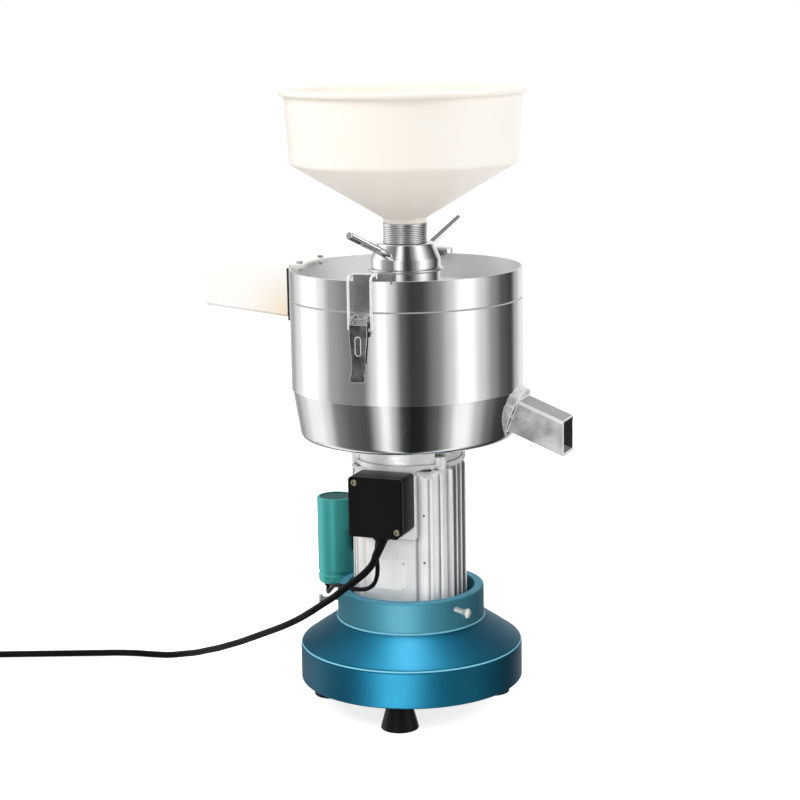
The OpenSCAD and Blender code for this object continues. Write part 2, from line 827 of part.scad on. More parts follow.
module capacitor() {
    groove_r = can_r - can_groove_d;
    lip_r = can_r - 2 * can_round;
    section = concat([[0, can_z], [can_r - can_round, can_z], [can_r, can_z + can_round], [can_r, can_groove_z],
        [groove_r, can_groove_z + can_groove_d],
        [groove_r, can_groove_z + can_groove_h - can_groove_d],
        [can_r, can_groove_z + can_groove_h]],
        arc([can_r - can_round, can_z + can_h - can_round], can_round, 0, 90),
        [[lip_r, can_z + can_h], [lip_r - can_round / 3, can_z + can_h - can_round / 2],
        [0, can_z + can_h - can_round / 2]]);
    color("#2f9c98") {
        translate([can_x, can_y, 0]) rotate_extrude() polygon(section);
        translate(boot_root) difference() {
            rotate([0, acos(boot_way[2]), atan2(boot_way[1], boot_way[0])]) translate([0, 0, -boot_r])
                cylinder(r = boot_r, h = boot_l + boot_r);
            cylinder(r = 3 * boot_r, h = 3 * boot_r);
        }
    }
}

// Clip round the can's inner side, on a bracket from the motor's fins
module capacitor_clip() {
    inner = can_r + seat;
    foot_z = clip_z - clip_h / 2;
    color("#303030") {
        translate([can_x, can_y, foot_z]) rotate([0, 0, can_angle + 180 + clip_turn - clip_arc / 2])
            rotate_extrude(angle = clip_arc) translate([inner, 0]) square([clip_t, clip_h]);
        difference() {
            rotate([0, 0, can_angle]) translate([motor_half - clip_arm_in, -clip_arm_w - 1, foot_z])
                cube([can_out - can_r - motor_half + clip_arm_in + clip_arm_over, clip_arm_w, clip_h]);
            translate([can_x, can_y, foot_z - cut]) cylinder(r = inner, h = clip_h + 2 * cut);
            translate([0, 0, foot_z - cut]) linear_extrude(clip_h + 2 * cut)
                motor_outline(motor_half + seat, motor_corner + seat);
        }
    }
}

module capacitor_lead() {
    color("#151515") swept(lead_route, lead_d, 10);
}

// Drum

module bowl_outside(grow = 0) {
    rotate_extrude($fn = 144) polygon(concat([[0, drum_z - grow]],
        arc([bowl_floor_r - bowl_corner, drum_z + bowl_corner], bowl_corner + grow, -90, -10),
        [[bowl_top_r + grow, wall_z], [0, wall_z]]));
}

module spout_frame() {
    translate([spout_reach, 0, spout_mouth_z]) rotate([0, spout_slope, 0]) children();
}

module spout_bore(length) {
    spout_frame() translate([-length, -spout_w / 2 + spout_t, spout_t - spout_h / 2])
        cube([length + spout_h, spout_w - 2 * spout_t, spout_h - 2 * spout_t]);
}

module drum_bowl() {
    inside = concat([[bowl_boss_r, bowl_floor_z]],
        arc([bowl_floor_r - bowl_corner, drum_z + bowl_corner], bowl_corner - bowl_t, -90, -10),
        [[bowl_top_r - bowl_t, wall_z], [bowl_boss_r, wall_z]]);
    lip_r = drum_r - sheet_t - seat;
    color("#cfd1d3") difference() {
        union() {
            difference() {
                bowl_outside();
                rotate_extrude($fn = 144) polygon(inside);
                translate([0, 0, bowl_boss_z]) cylinder(r = bowl_boss_r + cut, h = bowl_h);
            }
            translate([0, 0, wall_z - 4]) ring(lip_r, lip_r - spigot_t, spigot_h + 4);
        }
        translate([0, 0, drum_z - cut]) cylinder(r = shaft_r + 1, h = bowl_h);
        translate([0, 0, bowl_boss_z - seal_h]) cylinder(r = seal_r + seat, h = seal_h + cut);
        around(4, 0) translate([drum_bolt_circle_r, 0, drum_z - cut])
            cylinder(r = drum_bolt_r + seat, h = bowl_t + 2 * cut);
        spout_bore(spout_reach - spout_root_x + 14);
        at_spout_screws() translate([0, 0, -30]) cylinder(r = spout_screw_r + seat, h = 30);
    }
}

module drum_bolts() {
    color("silver") around(4, 0) translate([drum_bolt_circle_r, 0, bowl_floor_z])
        hex_bolt(drum_bolt_r, bowl_t + shield_top_t - 1, 5);
}

module drum_wall() {
    color("#d9dbdd") difference() {
        translate([0, 0, wall_z]) ring(drum_r, drum_r - sheet_t, wall_h);
        translate([-drum_r - cut, -window_w / 2, wall_top_z - window_h])
            cube([drum_r / 2, window_w, window_h + cut]);
    }
}

module shaft_seal() {
    color("#222222") translate([0, 0, bowl_boss_z - seal_h]) ring(seal_r, shaft_r + running, seal_h);
}

module residue_shelf() {
    shelf_z = basket_top_z - 6;
    shelf_r = drum_r - sheet_t - seat;
    color("#c6c8ca") difference() {
        translate([0, 0, shelf_z]) union() {
            ring(shelf_r, basket_r + shelf_gap, shelf_t);
            translate([0, 0, -8]) ring(shelf_r, shelf_r - shelf_t, 8);
        }
    }
}

module milk_spout() {
    length = spout_reach;
    color("#b9babb") difference() {
        intersection() {
            union() {
                spout_frame() translate([-length, -spout_w / 2, -spout_h / 2])
                    cube([length + spout_h, spout_w, spout_h]);
                spout_frame() translate([spout_flange_x - spout_reach - 30, 0, 0]) rotate([90, 0, 90])
                    linear_extrude(30) {
                        circle(spout_flange_r);
                        square([2 * spout_ear_y, 2 * spout_ear_r], center = true);
                        for (y = [-1, 1]) translate([y * spout_ear_y, 0]) circle(spout_ear_r);
                    }
            }
            translate([spout_root_x - spout_w, -drum_r, 0])
                cube([spout_reach - spout_root_x + spout_w, 2 * drum_r, 2 * drum_z]);
        }
        spout_bore(length);
        bowl_outside(seat);
        translate([0, 0, wall_z - cut]) cylinder(r = drum_r + gap, h = wall_h);
        at_spout_screws() translate([0, 0, -spout_screw_room])
            cylinder(r = spout_screw_r + seat, h = spout_screw_room + spout_screw_l);
    }
}

// Frame of each screw of the spout's flange, with +Z out of the flange's face
module at_spout_screws() {
    spout_frame() for (y = [-1, 1]) translate([spout_flange_x - spout_reach, y * spout_ear_y, 0])
        rotate([0, 90, 0]) children();
}

module spout_screws() {
    color("silver") at_spout_screws() {
        translate([0, 0, -spout_screw_l]) cylinder(r = spout_screw_r, h = spout_screw_l);
        cylinder(r = 1.8 * spout_screw_r, h = 2.4);
    }
}

// Lid

module lid_gasket() {
    color("#e8e6df") translate([0, 0, wall_top_z]) ring(drum_r - 0.6, drum_r - 5, gasket_t);
}

module lid() {
    color("#d9dbdd") difference() {
        translate([0, 0, lid_z]) union() {
            ring(drum_r, drum_r - sheet_t, ring_h);
            ring(drum_r, lid_hole_r, lid_t);
            translate([0, 0, -lid_z]) at_chute_screws()
                translate([1 - chute_lip_in + chute_screw_in, -chute_tab_w / 2, -chute_tab_t])
                    cube([chute_lip_in - 0.5, chute_tab_w, chute_tab_t]);
        }
        around(4, 45) translate([boss_bolt_circle_r, 0, lid_z - cut])
            cylinder(r = boss_bolt_r + seat, h = lid_t + 2 * cut);
        at_chute_screws() translate([0, 0, -5]) cylinder(r = chute_screw_r + seat, h = 10);
    }
}

module lid_boss() {
    foot_z = lid_z + lid_t;
    section = [[tube_r + running, foot_z], [boss_foot_r, foot_z], [boss_foot_r, foot_z + boss_foot_h - 2],
        [boss_foot_r - 2, foot_z + boss_foot_h], [boss_r + boss_fillet, foot_z + boss_foot_h],
        [boss_r, foot_z + boss_foot_h + boss_fillet], [boss_r, boss_top_z - boss_flange_h],
        [boss_flange_r, boss_top_z - boss_flange_h + 1], [boss_flange_r, boss_top_z],
        [tube_r + running, boss_top_z]];
    color("#cfd0d2") difference() {
        rotate_extrude() polygon(section);
        around(4, 45) translate([boss_bolt_circle_r, 0, foot_z - cut])
            cylinder(r = boss_bolt_r + seat, h = boss_foot_h + 2 * cut);
    }
}

module boss_bolts() {
    color("silver") around(4, 45) translate([boss_bolt_circle_r, 0, lid_z + lid_t + boss_foot_h])
        hex_bolt(boss_bolt_r, boss_foot_h + lid_t + 3, 4);
}

// Frame of each screw of the chute's tongue, at the rim's height, with +X leading out of the drum
module at_chute_screws() {
    for (s = [-1, 1]) rotate([0, 0, 180 + s * chute_screw_step])
        translate([drum_r - sheet_t - chute_screw_in, 0, rim_z]) children();
}

// Distance from the chute's middle to its rounded section's edge, straight up, sideways or at 45 degrees
function chute_half(turn, w, h) = turn == 0 ? h / 2 : turn == 90 ? w / 2
    : (w + h - 4 * chute_round) / sqrt(8) + chute_round;

// Slab between two sloping planes, turned about the chute's length
module chute_slab(turn, shrink, over) {
    root_h = chute_top_z - chute_foot_z;
    root_mid = (chute_foot_z + root_h / 2) * cos(turn);
    mouth_mid = (chute_mouth_z + chute_mouth_h / 2) * cos(turn);
    root_half = chute_half(turn, chute_root_w, root_h) - shrink;
    mouth_half = chute_half(turn, chute_mouth_w, chute_mouth_h) - shrink;
    root_x = over + chute_tuck - drum_r;
    mouth_x = -chute_reach - over;
    rotate([turn, 0, 0]) rotate([90, 0, 0]) linear_extrude(4 * chute_top_z, center = true)
        polygon([[root_x, root_mid - root_half], [root_x, root_mid + root_half],
            [mouth_x, mouth_mid + mouth_half], [mouth_x, mouth_mid - mouth_half]]);
}

// Tapering eight-sided body, its corners cut off where a round would touch
module chute_body(shrink, over) {
    intersection() {
        chute_slab(0, shrink, over);
        chute_slab(90, shrink, over);
        chute_slab(45, shrink, over);
        chute_slab(-45, shrink, over);
    }
}

module residue_chute() {
    flange_r = drum_r + seat;
    flange_z = chute_foot_z - 3;
    inner_r = drum_r - sheet_t - seat;
    color("#f1e6d2") difference() {
        union() {
            chute_body(0, 0);
            rotate([0, 0, 180 - chute_flange_arc / 2]) rotate_extrude(angle = chute_flange_arc)
                translate([drum_r - cut, flange_z]) square([chute_flange_t + cut, rim_z + seat - flange_z]);
        }
        chute_body(chute_t, 1);
        translate([0, 0, flange_z - cut]) cylinder(r = flange_r, h = 2 * chute_top_z);
    }
    color("#f1e6d2") difference() {
        rotate([0, 0, 180 - chute_lip_arc / 2]) rotate_extrude(angle = chute_lip_arc)
            translate([inner_r + seat - chute_lip_in, rim_z + seat])
                square([chute_lip_in + sheet_t + chute_flange_t, chute_t - seat]);
        at_chute_screws() translate([0, 0, -cut]) cylinder(r = chute_screw_r + seat, h = 2 * chute_t);
    }
}

module chute_screws() {
    nut_h = 2.2;
    nut_z = -chute_tab_t - seat - nut_h;
    color("silver") at_chute_screws() {
        translate([0, 0, chute_t + seat]) cylinder(r = 1.9 * chute_screw_r, h = 2.6, $fn = 6);
        translate([0, 0, nut_z - 1]) cylinder(r = chute_screw_r, h = chute_t + 1.2 - nut_z);
        translate([0, 0, nut_z]) cylinder(r = 1.9 * chute_screw_r, h = nut_h, $fn = 6);
    }
}

// Latches, in a frame whose +X leads out of the drum

module at_front() {
    rotate([0, 0, latch_turn - 90]) children();
}

module at_rear() {
    rotate([0, 0, rear_latch_turn + 90]) children();
}

module across(z, x, r, from, to) {
    translate([x, from, z]) rotate([-90, 0, 0]) cylinder(r = r, h = to - from, $fn = 32);
}

module latch_base() {
    top_z = pivot_z + ear_r + 0.5;
    back_r = drum_r + seat;
    color("#c9cacb") difference() {
        union() {
            intersection() {
                translate([0, 0, top_z - latch_base_h]) ring(back_r + latch_t, back_r, latch_base_h);
                translate([0, -latch_base_w / 2, 0]) cube([2 * drum_r, latch_base_w, 2 * top_z]);
            }
            for (s = [-1, 1]) difference() {
                union() {
                    across(pivot_z, pivot_x, ear_r, s > 0 ? ear_in : -ear_out, s > 0 ? ear_out : -ear_in);
                    translate([drum_r - 2, s > 0 ? ear_in : -ear_out, pivot_z - ear_r])
                        cube([pivot_out + 2, ear_out - ear_in, 2 * ear_r]);
                }
                cylinder(r = back_r, h = 2 * top_z);
            }
        }
        across(pivot_z, pivot_x, pin_r + seat, -ear_out - cut, ear_out + cut);
    }
}

module front_latch_base() {
    at_front() latch_base();
}

module rear_latch_base() {
    at_rear() latch_base();
}

module latch_pin() {
    head_y = lever_half + gap;
    across(pivot_z, pivot_x, pin_r, -head_y, head_y);
    for (y = [-head_y - pin_head_h, head_y]) across(pivot_z, pivot_x, pin_head_r, y, y + pin_head_h);
}

module latch_pins() {
    color("silver") {
        at_front() latch_pin();
        at_rear() latch_pin();
    }
}

// Saddle over the ring's rim, with a tongue under the bail's hook and a lug beside it
module keeper() {
    half = keeper_w / 2;
    inner_r = drum_r - sheet_t;
    difference() {
        union() {
            translate([drum_r - cut, -half, rim_z - keeper_drop]) cube([latch_t + cut, keeper_w, keeper_drop + cut]);
            translate([keeper_crest_x, -half, rim_z + seat])
                cube([drum_r + latch_t - keeper_crest_x, keeper_w, keeper_top_z - rim_z - seat]);
            translate([tongue_x, -half, tongue_z - 3]) cube([keeper_crest_x - tongue_x + cut, keeper_w, 3]);
            translate([tongue_x, bail_y + wire_r + 1, rim_z - 3]) cube([11, lug_w, 11]);
            translate([tongue_x, -half, tongue_z - 6]) cube([11, half + bail_y + 4, 3.2]);
        }
        translate([0, 0, rim_z - 2 * ring_h]) difference() {
            cylinder(r = drum_r + seat, h = 2 * ring_h + seat, $fn = 144);
            translate([0, 0, -cut]) cylinder(r = inner_r - seat, h = 2 * ring_h + 2 * cut, $fn = 144);
        }
    }
}

module latch_keepers() {
    color("#b4b5b6") {
        at_front() keeper();
        at_rear() keeper();
    }
}

// Outline of the lever's web, with y across and z below the pivot
module lever_outline(inset) {
    top = -4 - inset;
    foot = -(lever_l - tab_l) + inset;
    polygon([[lever_half - inset, top], [lever_half - inset, -lever_cheek],
        [lever_tip_half - inset, foot], [-lever_tip_half + inset, foot],
        [-lever_half + inset, -lever_cheek], [-lever_half + inset, top]]);
}

module upright(x, h) {
    translate([x, 0, pivot_z]) rotate([90, 0, 90]) linear_extrude(h) children();
}

module lever() {
    oval_r = 3.2;
    oval_head = 20;
    oval_foot = 34;
    foot = lever_l - tab_l;
    cheek_in = lever_half - latch_t;
    difference() {
        union() {
            upright(web_x, latch_t) lever_outline(0);
            upright(web_x - lever_rim, lever_rim + 0.2) difference() {
                lever_outline(0);
                lever_outline(latch_t);
                translate([-lever_half, -4 - latch_t]) square([lever_w, 3 * latch_t]);
            }
            for (s = [-1, 1]) {
                y = s > 0 ? cheek_in : -lever_half;
                across(pivot_z, pivot_x, ear_r, y, y + latch_t);
                translate([pivot_x - ear_r, y, pivot_z - lever_cheek])
                    cube([web_x - pivot_x + ear_r + 0.2, latch_t, lever_cheek]);
            }
            upright(web_x + latch_t - 0.2, 1) {
                for (z = [oval_head, oval_foot]) translate([0, -z]) circle(oval_r);
                translate([-oval_r, -oval_foot]) square([2 * oval_r, oval_foot - oval_head]);
            }
            translate([web_x, 0, pivot_z - foot]) rotate([0, -tab_slope, 0]) translate([0, 0, -tab_l])
                rotate([90, 0, 90]) linear_extrude(latch_t) {
                    translate([-lever_tip_half, 4]) square([2 * lever_tip_half, tab_l - 3.4]);
                    translate([-lever_tip_half - 1, 0]) rounded_plate_at(2 * lever_tip_half + 2, 9, 3);
                }
        }
        across(pivot_z, pivot_x, pin_r + running, -lever_w, lever_w);
        across(bail_z, pivot_x, wire_r + running, -lever_w, lever_w);
    }
}

module rounded_plate_at(w, h, r) {
    translate([w / 2, h / 2]) rounded_plate(w, h, r);
}

module front_lever() {
    color("#c3c4c6") at_front() lever();
}

module rear_lever() {
    color("#c3c4c6") at_rear() lever();
}

// Quarter bend of the bail's wire, about its own centre, in the XZ or the XY plane
module bend(r, start) {
    rotate([0, 0, start]) rotate_extrude(angle = 90, $fn = 48) translate([r, 0]) circle(wire_r, $fn = 24);
}

module bail() {
    side_top = hook_z - bail_bend;
    arm_x = pivot_x - bail_bend;
    pin_in = lever_half - latch_t + 0.2;
    for (s = [-1, 1]) {
        across(bail_z, pivot_x, wire_r, s > 0 ? pin_in : -bail_y, s > 0 ? bail_y : -pin_in);
        translate([pivot_x, s * bail_y, bail_z]) sphere(wire_r, $fn = 24);
        translate([pivot_x, s * bail_y, bail_z]) cylinder(r = wire_r, h = side_top - bail_z, $fn = 24);
        translate([arm_x, s * bail_y, side_top]) rotate([90, 0, 0]) bend(bail_bend, 0);
        translate([hook_x + bail_bend, s * bail_y, hook_z]) rotate([0, 90, 0])
            cylinder(r = wire_r, h = arm_x - hook_x - bail_bend, $fn = 24);
        translate([hook_x + bail_bend, s * (bail_y - bail_bend), hook_z]) bend(bail_bend, s > 0 ? 90 : 180);
    }
    across(hook_z, hook_x, wire_r, bail_bend - bail_y, bail_y - bail_bend);
}

module front_bail() {
    color("gainsboro") at_front() bail();
}

module rear_bail() {
    color("gainsboro") at_rear() bail();
}

// Mains cord, coiled with its plug beside it

module power_cord() {
    color("#121212") swept(cord_route, cord_d, 10);
}

module cord_coil() {
    color("#121212") swept(coil_route, cord_d, 6);
}

module cord_tie() {
    band_angle = coil_angle - 360 * tie_turn;
    inner = coil_radius(coil_turns - tie_turn) - cord_d / 2 - 0.8;
    outer = coil_radius(tie_turn) + cord_d / 2 + 0.8;
    inside_h = coil_z + coil_pitch + cord_d / 2 + gap - tie_t;
    color("#2a2a2a") translate(coil_center) rotate([0, 0, band_angle]) difference() {
        translate([inner - tie_t, -tie_w / 2, 0])
            cube([outer - inner + 2 * tie_t, tie_w, inside_h + 2 * tie_t]);
        translate([inner, -tie_w, tie_t]) cube([outer - inner, 2 * tie_w, inside_h]);
    }
}

// Frame of the plug, with +X leading away from the cord
module at_plug() {
    translate(coil_end) rotate([0, 0, atan2(coil_out[1], coil_out[0])]) children();
}

module plug_body() {
    color("#161616") at_plug() {
        rotate([0, 90, 0]) cylinder(r1 = cord_d / 2 + 0.8, r2 = plug_w / 3, h = plug_neck_l);
        translate([plug_neck_l, 0, 0]) rotate([90, 0, 90]) linear_extrude(plug_l)
            rounded_plate(plug_w, 2 * plug_z, 8);
    }
}

module plug_pins() {
    color("silver") at_plug() for (s = [-1, 1])
        translate([plug_neck_l + plug_l, s * plug_pin_step / 2 - plug_pin_t / 2, -plug_pin_w / 2])
            cube([plug_pin_l, plug_pin_t, plug_pin_w]);
}

// Turning parts

module motor_shaft() {
    color("lightgray") {
        translate([0, 0, shaft_foot_z]) cylinder(r = shaft_r, h = shaft_top_z - shaft_foot_z);
        translate([0, 0, housing_z + 6]) cylinder(r = shaft_core_r, h = upper_bearing_z - housing_z - 12);
    }
}

module rotor_core() {
    color("slategray") translate([0, 0, stator_z]) ring(rotor_r, shaft_core_r + seat, stator_h);
}

module cooling_fan() {
    hub_out = shaft_r + 6;
    color("#3b3b3b") translate([0, 0, fan_z]) {
        ring(hub_out, shaft_r + seat, fan_h);
        ring(fan_r, shaft_r + 2, 2.5);
        around(fan_blades) translate([hub_out - 1, -1, 0]) cube([fan_r - hub_out, 2, fan_h]);
    }
}

module sieve_basket() {
    slant = basket_t * 1.5;
    rim_r = basket_r - basket_rim_w;
    window_z = hub_z + hub_t + basket_window_foot;
    color("#c2c4c6") difference() {
        union() {
            rotate_extrude() polygon([[shaft_r + seat, hub_z], [hub_r, hub_z], [rim_r, basket_top_z - basket_t],
                [basket_r, basket_top_z - basket_t], [basket_r, basket_top_z], [rim_r - slant, basket_top_z],
                [hub_r + 3, hub_z + hub_t], [shaft_r + seat, hub_z + hub_t]]);
            translate([0, 0, hub_z - labyrinth_h])
                ring(labyrinth_r + labyrinth_t, labyrinth_r, labyrinth_h + hub_t / 2);
        }
        around(basket_windows) translate([hub_r, -basket_window_w / 2, window_z])
            cube([basket_r, basket_window_w, basket_top_z - window_z - basket_window_head]);
    }
}

module lower_stone() {
    top_z = lower_stone_z + stone_h;
    color("#8d8a84") difference() {
        translate([0, 0, lower_stone_z]) cylinder(r = stone_r, h = stone_h);
        translate([0, 0, lower_stone_z - cut]) cylinder(r = shaft_r + seat, h = stone_h + 2 * cut);
        translate([0, 0, top_z - nut_recess]) cylinder(r = nut_recess_r, h = nut_recess + cut);
        around(furrows) translate([stone_r - furrow_l - 6, 4, top_z - furrow_d])
            cube([furrow_l, furrow_w, furrow_d + cut]);
    }
}

module stone_nut() {
    color("silver") translate([0, 0, lower_stone_z + stone_h - nut_recess]) difference() {
        cylinder(r = nut_r, h = nut_h, $fn = 6);
        translate([0, 0, -cut]) cylinder(r = shaft_r + seat, h = nut_h + 2 * cut);
    }
}

// Feed and adjustment

module adjusting_collar() {
    color("#dcdddf") difference() {
        rotate_extrude() polygon([[tube_r + running, collar_z], [collar_r, collar_z],
            [collar_r, collar_z + collar_foot_h], [collar_top_r, collar_top_z],
            [tube_r + running, collar_top_z]]);
        at_handles() translate([0, 0, 0]) cylinder(r = handle_d / 2 + seat, h = handle_reach);
    }
}

// Frame of each handle, with +Z along the rod and its inner end at z = 0
module at_handles() {
    rise = (handle_entry_r - handle_root_r) * tan(handle_slope);
    for (a = [0, 180]) rotate([0, 0, handle_angle + a])
        translate([handle_root_r, 0, handle_entry_z - rise]) rotate([0, 90 - handle_slope, 0]) children();
}

module adjusting_handles() {
    length = (handle_reach - handle_root_r) / cos(handle_slope);
    tip = handle_d / 4;
    section = concat([[0, 0], [handle_d / 2, 0]],
        arc([handle_d / 2 - tip, length - tip], tip, 0, 90), [[0, length]]);
    color("#e2e3e5") at_handles() rotate_extrude($fn = 32) polygon(section);
}

module feed_tube() {
    color("#c8c9cb") difference() {
        translate([0, 0, feed_flange_z]) union() {
            cylinder(r = tube_r, h = tube_top_z - feed_flange_z);
            cylinder(r = feed_flange_r, h = feed_flange_h);
        }
        translate([0, 0, feed_flange_z - cut]) cylinder(r = tube_bore_r, h = tube_top_z);
        around(3) translate([stone_screw_circle_r, 0, feed_flange_z - cut])
            cylinder(r = stone_screw_r + seat, h = feed_flange_h + 2 * cut);
    }
}

module upper_stone() {
    throat_h = 9;
    color("#8d8a84") difference() {
        translate([0, 0, upper_stone_z]) cylinder(r = stone_r, h = stone_h);
        translate([0, 0, upper_stone_z - cut]) cylinder(r = eye_r, h = stone_h + 2 * cut);
        translate([0, 0, upper_stone_z - cut])
            cylinder(r1 = eye_r + 14, r2 = eye_r - 1, h = throat_h + cut);
        around(3) translate([stone_screw_circle_r, 0, feed_flange_z - stone_screw_bite - stone_gap])
            cylinder(r = stone_screw_r + seat, h = stone_screw_bite + stone_gap + cut);
    }
}

module stone_screws() {
    color("silver") around(3) translate([stone_screw_circle_r, 0, feed_flange_z + feed_flange_h])
        hex_bolt(stone_screw_r, feed_flange_h + stone_screw_bite, 4);
}

module hopper() {
    lean = hopper_cone_h / (hopper_r - neck_r);
    slack = hopper_t * sqrt(1 + lean * lean) / lean;
    bead_z = hopper_top_z + bead_r - 1;
    spigot_r = tube_bore_r - plug_in_gap;
    inner_neck_z = neck_top_z + (throat_r + slack - neck_r) * lean;
    section = concat(
        [[throat_r, neck_z - plug_in_h], [spigot_r, neck_z - plug_in_h], [spigot_r, neck_z],
        [neck_r, neck_z], [neck_r, neck_top_z], [hopper_r, cone_end_z], [hopper_top_r, hopper_top_z]],
        arc([hopper_top_r + bead_r, bead_z], bead_r, -90, 90, 10),
        [[hopper_top_r - hopper_t, bead_z + bead_r], [hopper_r - hopper_t, cone_end_z + 2],
        [throat_r, max(neck_z, inner_neck_z + 0.5)]]);
    color("#f4f3ef") rotate_extrude($fn = 144) polygon(section);
}

base_casting();
rubber_feet();
foot_bolts();
motor_set_screws();
motor_housing();
lower_end_shield();
upper_end_shield();
through_bolts();
stator_core();
stator_windings();
lower_bearing();
upper_bearing();
terminal_box();
terminal_cover();
cover_screws();
terminal_block();
cable_gland();
capacitor();
capacitor_clip();
capacitor_lead();
drum_bowl();
drum_bolts();
drum_wall();
shaft_seal();
residue_shelf();
milk_spout();
spout_screws();
lid_gasket();
lid();
lid_boss();
boss_bolts();
residue_chute();
chute_screws();
front_latch_base();
rear_latch_base();
latch_pins();
latch_keepers();
power_cord();
cord_coil();
cord_tie();
plug_body();
plug_pins();
motor_shaft();
rotor_core();
cooling_fan();
sieve_basket();
lower_stone();
stone_nut();
adjusting_collar();
adjusting_handles();
feed_tube();
upper_stone();
stone_screws();
hopper();
front_lever();
front_bail();
rear_lever();
rear_bail();
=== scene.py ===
import math

import bmesh
import bpy
from mathutils import Matrix, Vector


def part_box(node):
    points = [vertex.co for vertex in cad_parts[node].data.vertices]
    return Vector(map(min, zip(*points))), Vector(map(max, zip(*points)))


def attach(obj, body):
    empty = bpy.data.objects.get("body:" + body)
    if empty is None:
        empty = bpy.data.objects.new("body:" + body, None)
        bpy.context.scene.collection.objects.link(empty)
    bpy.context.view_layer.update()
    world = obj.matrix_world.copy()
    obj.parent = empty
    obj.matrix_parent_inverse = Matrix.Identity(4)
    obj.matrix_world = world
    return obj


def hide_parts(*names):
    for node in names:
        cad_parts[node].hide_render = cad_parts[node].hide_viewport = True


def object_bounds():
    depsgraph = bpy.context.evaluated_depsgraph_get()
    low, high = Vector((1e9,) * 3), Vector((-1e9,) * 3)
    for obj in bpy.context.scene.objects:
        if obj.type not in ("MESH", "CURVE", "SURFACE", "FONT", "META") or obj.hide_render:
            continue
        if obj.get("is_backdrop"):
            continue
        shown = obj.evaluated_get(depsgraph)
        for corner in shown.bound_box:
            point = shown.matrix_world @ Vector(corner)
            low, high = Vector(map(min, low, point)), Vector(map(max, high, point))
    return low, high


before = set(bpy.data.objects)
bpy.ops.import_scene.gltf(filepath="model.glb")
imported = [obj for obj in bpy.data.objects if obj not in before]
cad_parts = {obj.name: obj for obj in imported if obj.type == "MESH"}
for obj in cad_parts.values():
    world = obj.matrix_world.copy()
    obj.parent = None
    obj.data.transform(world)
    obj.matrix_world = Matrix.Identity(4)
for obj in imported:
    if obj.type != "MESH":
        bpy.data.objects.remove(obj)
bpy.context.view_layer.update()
mm = 0.001
scene = bpy.context.scene
print("frame loaded,", len(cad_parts), "nodes")


def newObject(name, data):
    made = bpy.data.objects.new(name, data)
    scene.collection.objects.link(made)
    return made


def meshFrom(bm, name):
    mesh = bpy.data.meshes.new(name)
    bm.to_mesh(mesh)
    bm.free()
    return mesh


# shader sockets that take plain sums

class Wire:
    def __init__(self, book, socket):
        self.book = book
        self.socket = socket

    def of(self, name):
        return Wire(self.book, self.socket.node.outputs[name])

    def __add__(self, other):
        return self.book.maths("ADD", self, other)

    __radd__ = __add__

    def __sub__(self, other):
        return self.book.maths("SUBTRACT", self, other)

    def __rsub__(self, other):
        return self.book.maths("SUBTRACT", other, self)

    def __mul__(self, other):
        return self.book.maths("MULTIPLY", self, other)

    __rmul__ = __mul__

    def __truediv__(self, other):
        return self.book.maths("DIVIDE", self, other)


class NodeBook:
    def __init__(self, tree):
        self.tree = tree

    def feed(self, socket, value):
        if isinstance(value, Wire):
            self.tree.links.new(value.socket, socket)
        else:
            socket.default_value = value

    def node(self, kind, settings=None, values=None, out=0):
        made = self.tree.nodes.new(kind)
        for key, value in (settings or {}).items():
            if key == "stops":
                ramp = made.color_ramp
                while len(ramp.elements) < len(value):
                    ramp.elements.new(0.5)
                for element, (place, colour) in zip(ramp.elements, value):
                    element.position = place
                    element.color = (*colour, 1)
            elif key == "interpolation":
                made.color_ramp.interpolation = value
            else:
                setattr(made, key, value)
        for key, value in (values or {}).items():
            self.feed(made.inputs[key], value)
        return Wire(self, made.outputs[out]) if len(made.outputs) else None

    def maths(self, operation, *values):
        return self.node("ShaderNodeMath", {"operation": operation}, dict(enumerate(values)))

    # small phrases that the finishes share
    def place(self, stretch=(1, 1, 1)):
        spot = self.node("ShaderNodeTexCoord", out="Object")
        return self.node("ShaderNodeMapping", None, {"Vector": spot, "Scale": stretch})

    def axes(self):
        return self.node("ShaderNodeSeparateXYZ", None, {"Vector": self.place()})

    def noise(self, scale, detail=3, rough=0.55, stretch=(1, 1, 1)):
        return self.node("ShaderNodeTexNoise", None,
                         {"Vector": self.place(stretch), "Scale": scale, "Detail": detail, "Roughness": rough})

    def band(self, value, low, high, toLow=0, toHigh=1):
        return self.node("ShaderNodeMapRange", {"clamp": True},
                         {"Value": value, "From Min": low, "From Max": high, "To Min": toLow, "To Max": toHigh})

    def blendColour(self, share, first, second):
        ends = [one if isinstance(one, Wire) else (*one, 1) for one in (first, second)]
        return self.node("ShaderNodeMix", {"data_type": "RGBA"}, {0: share, 6: ends[0], 7: ends[1]}, out=2)

    def mottle(self, wave, look, low=0.3, high=0.7):
        return self.blendColour(self.band(wave, low, high), look["dark"], look["light"])

    def sheen(self, wave, rough, less, more):
        return self.band(wave, 0.3, 0.7, rough - less, rough + more)

    def bump(self, height, strength, distance):
        return self.node("ShaderNodeBump", None, {"Height": height, "Strength": strength, "Distance": distance})


class Finish(NodeBook):
    def __init__(self, name, slot, values):
        self.material = bpy.data.materials.new(name)
        self.material.use_nodes = True
        self.slot = slot
        super().__init__(self.material.node_tree)
        self.shader = self.tree.nodes["Principled BSDF"]
        self.set(values)

    def set(self, values):
        for key, value in values.items():
            self.feed(self.shader.inputs[key], value)


# finishes

plasticDepth = {"Subsurface Radius": (0.01, 0.008, 0.006), "Subsurface Scale": 0.6}


def grey(level):
    return (level, level, level)


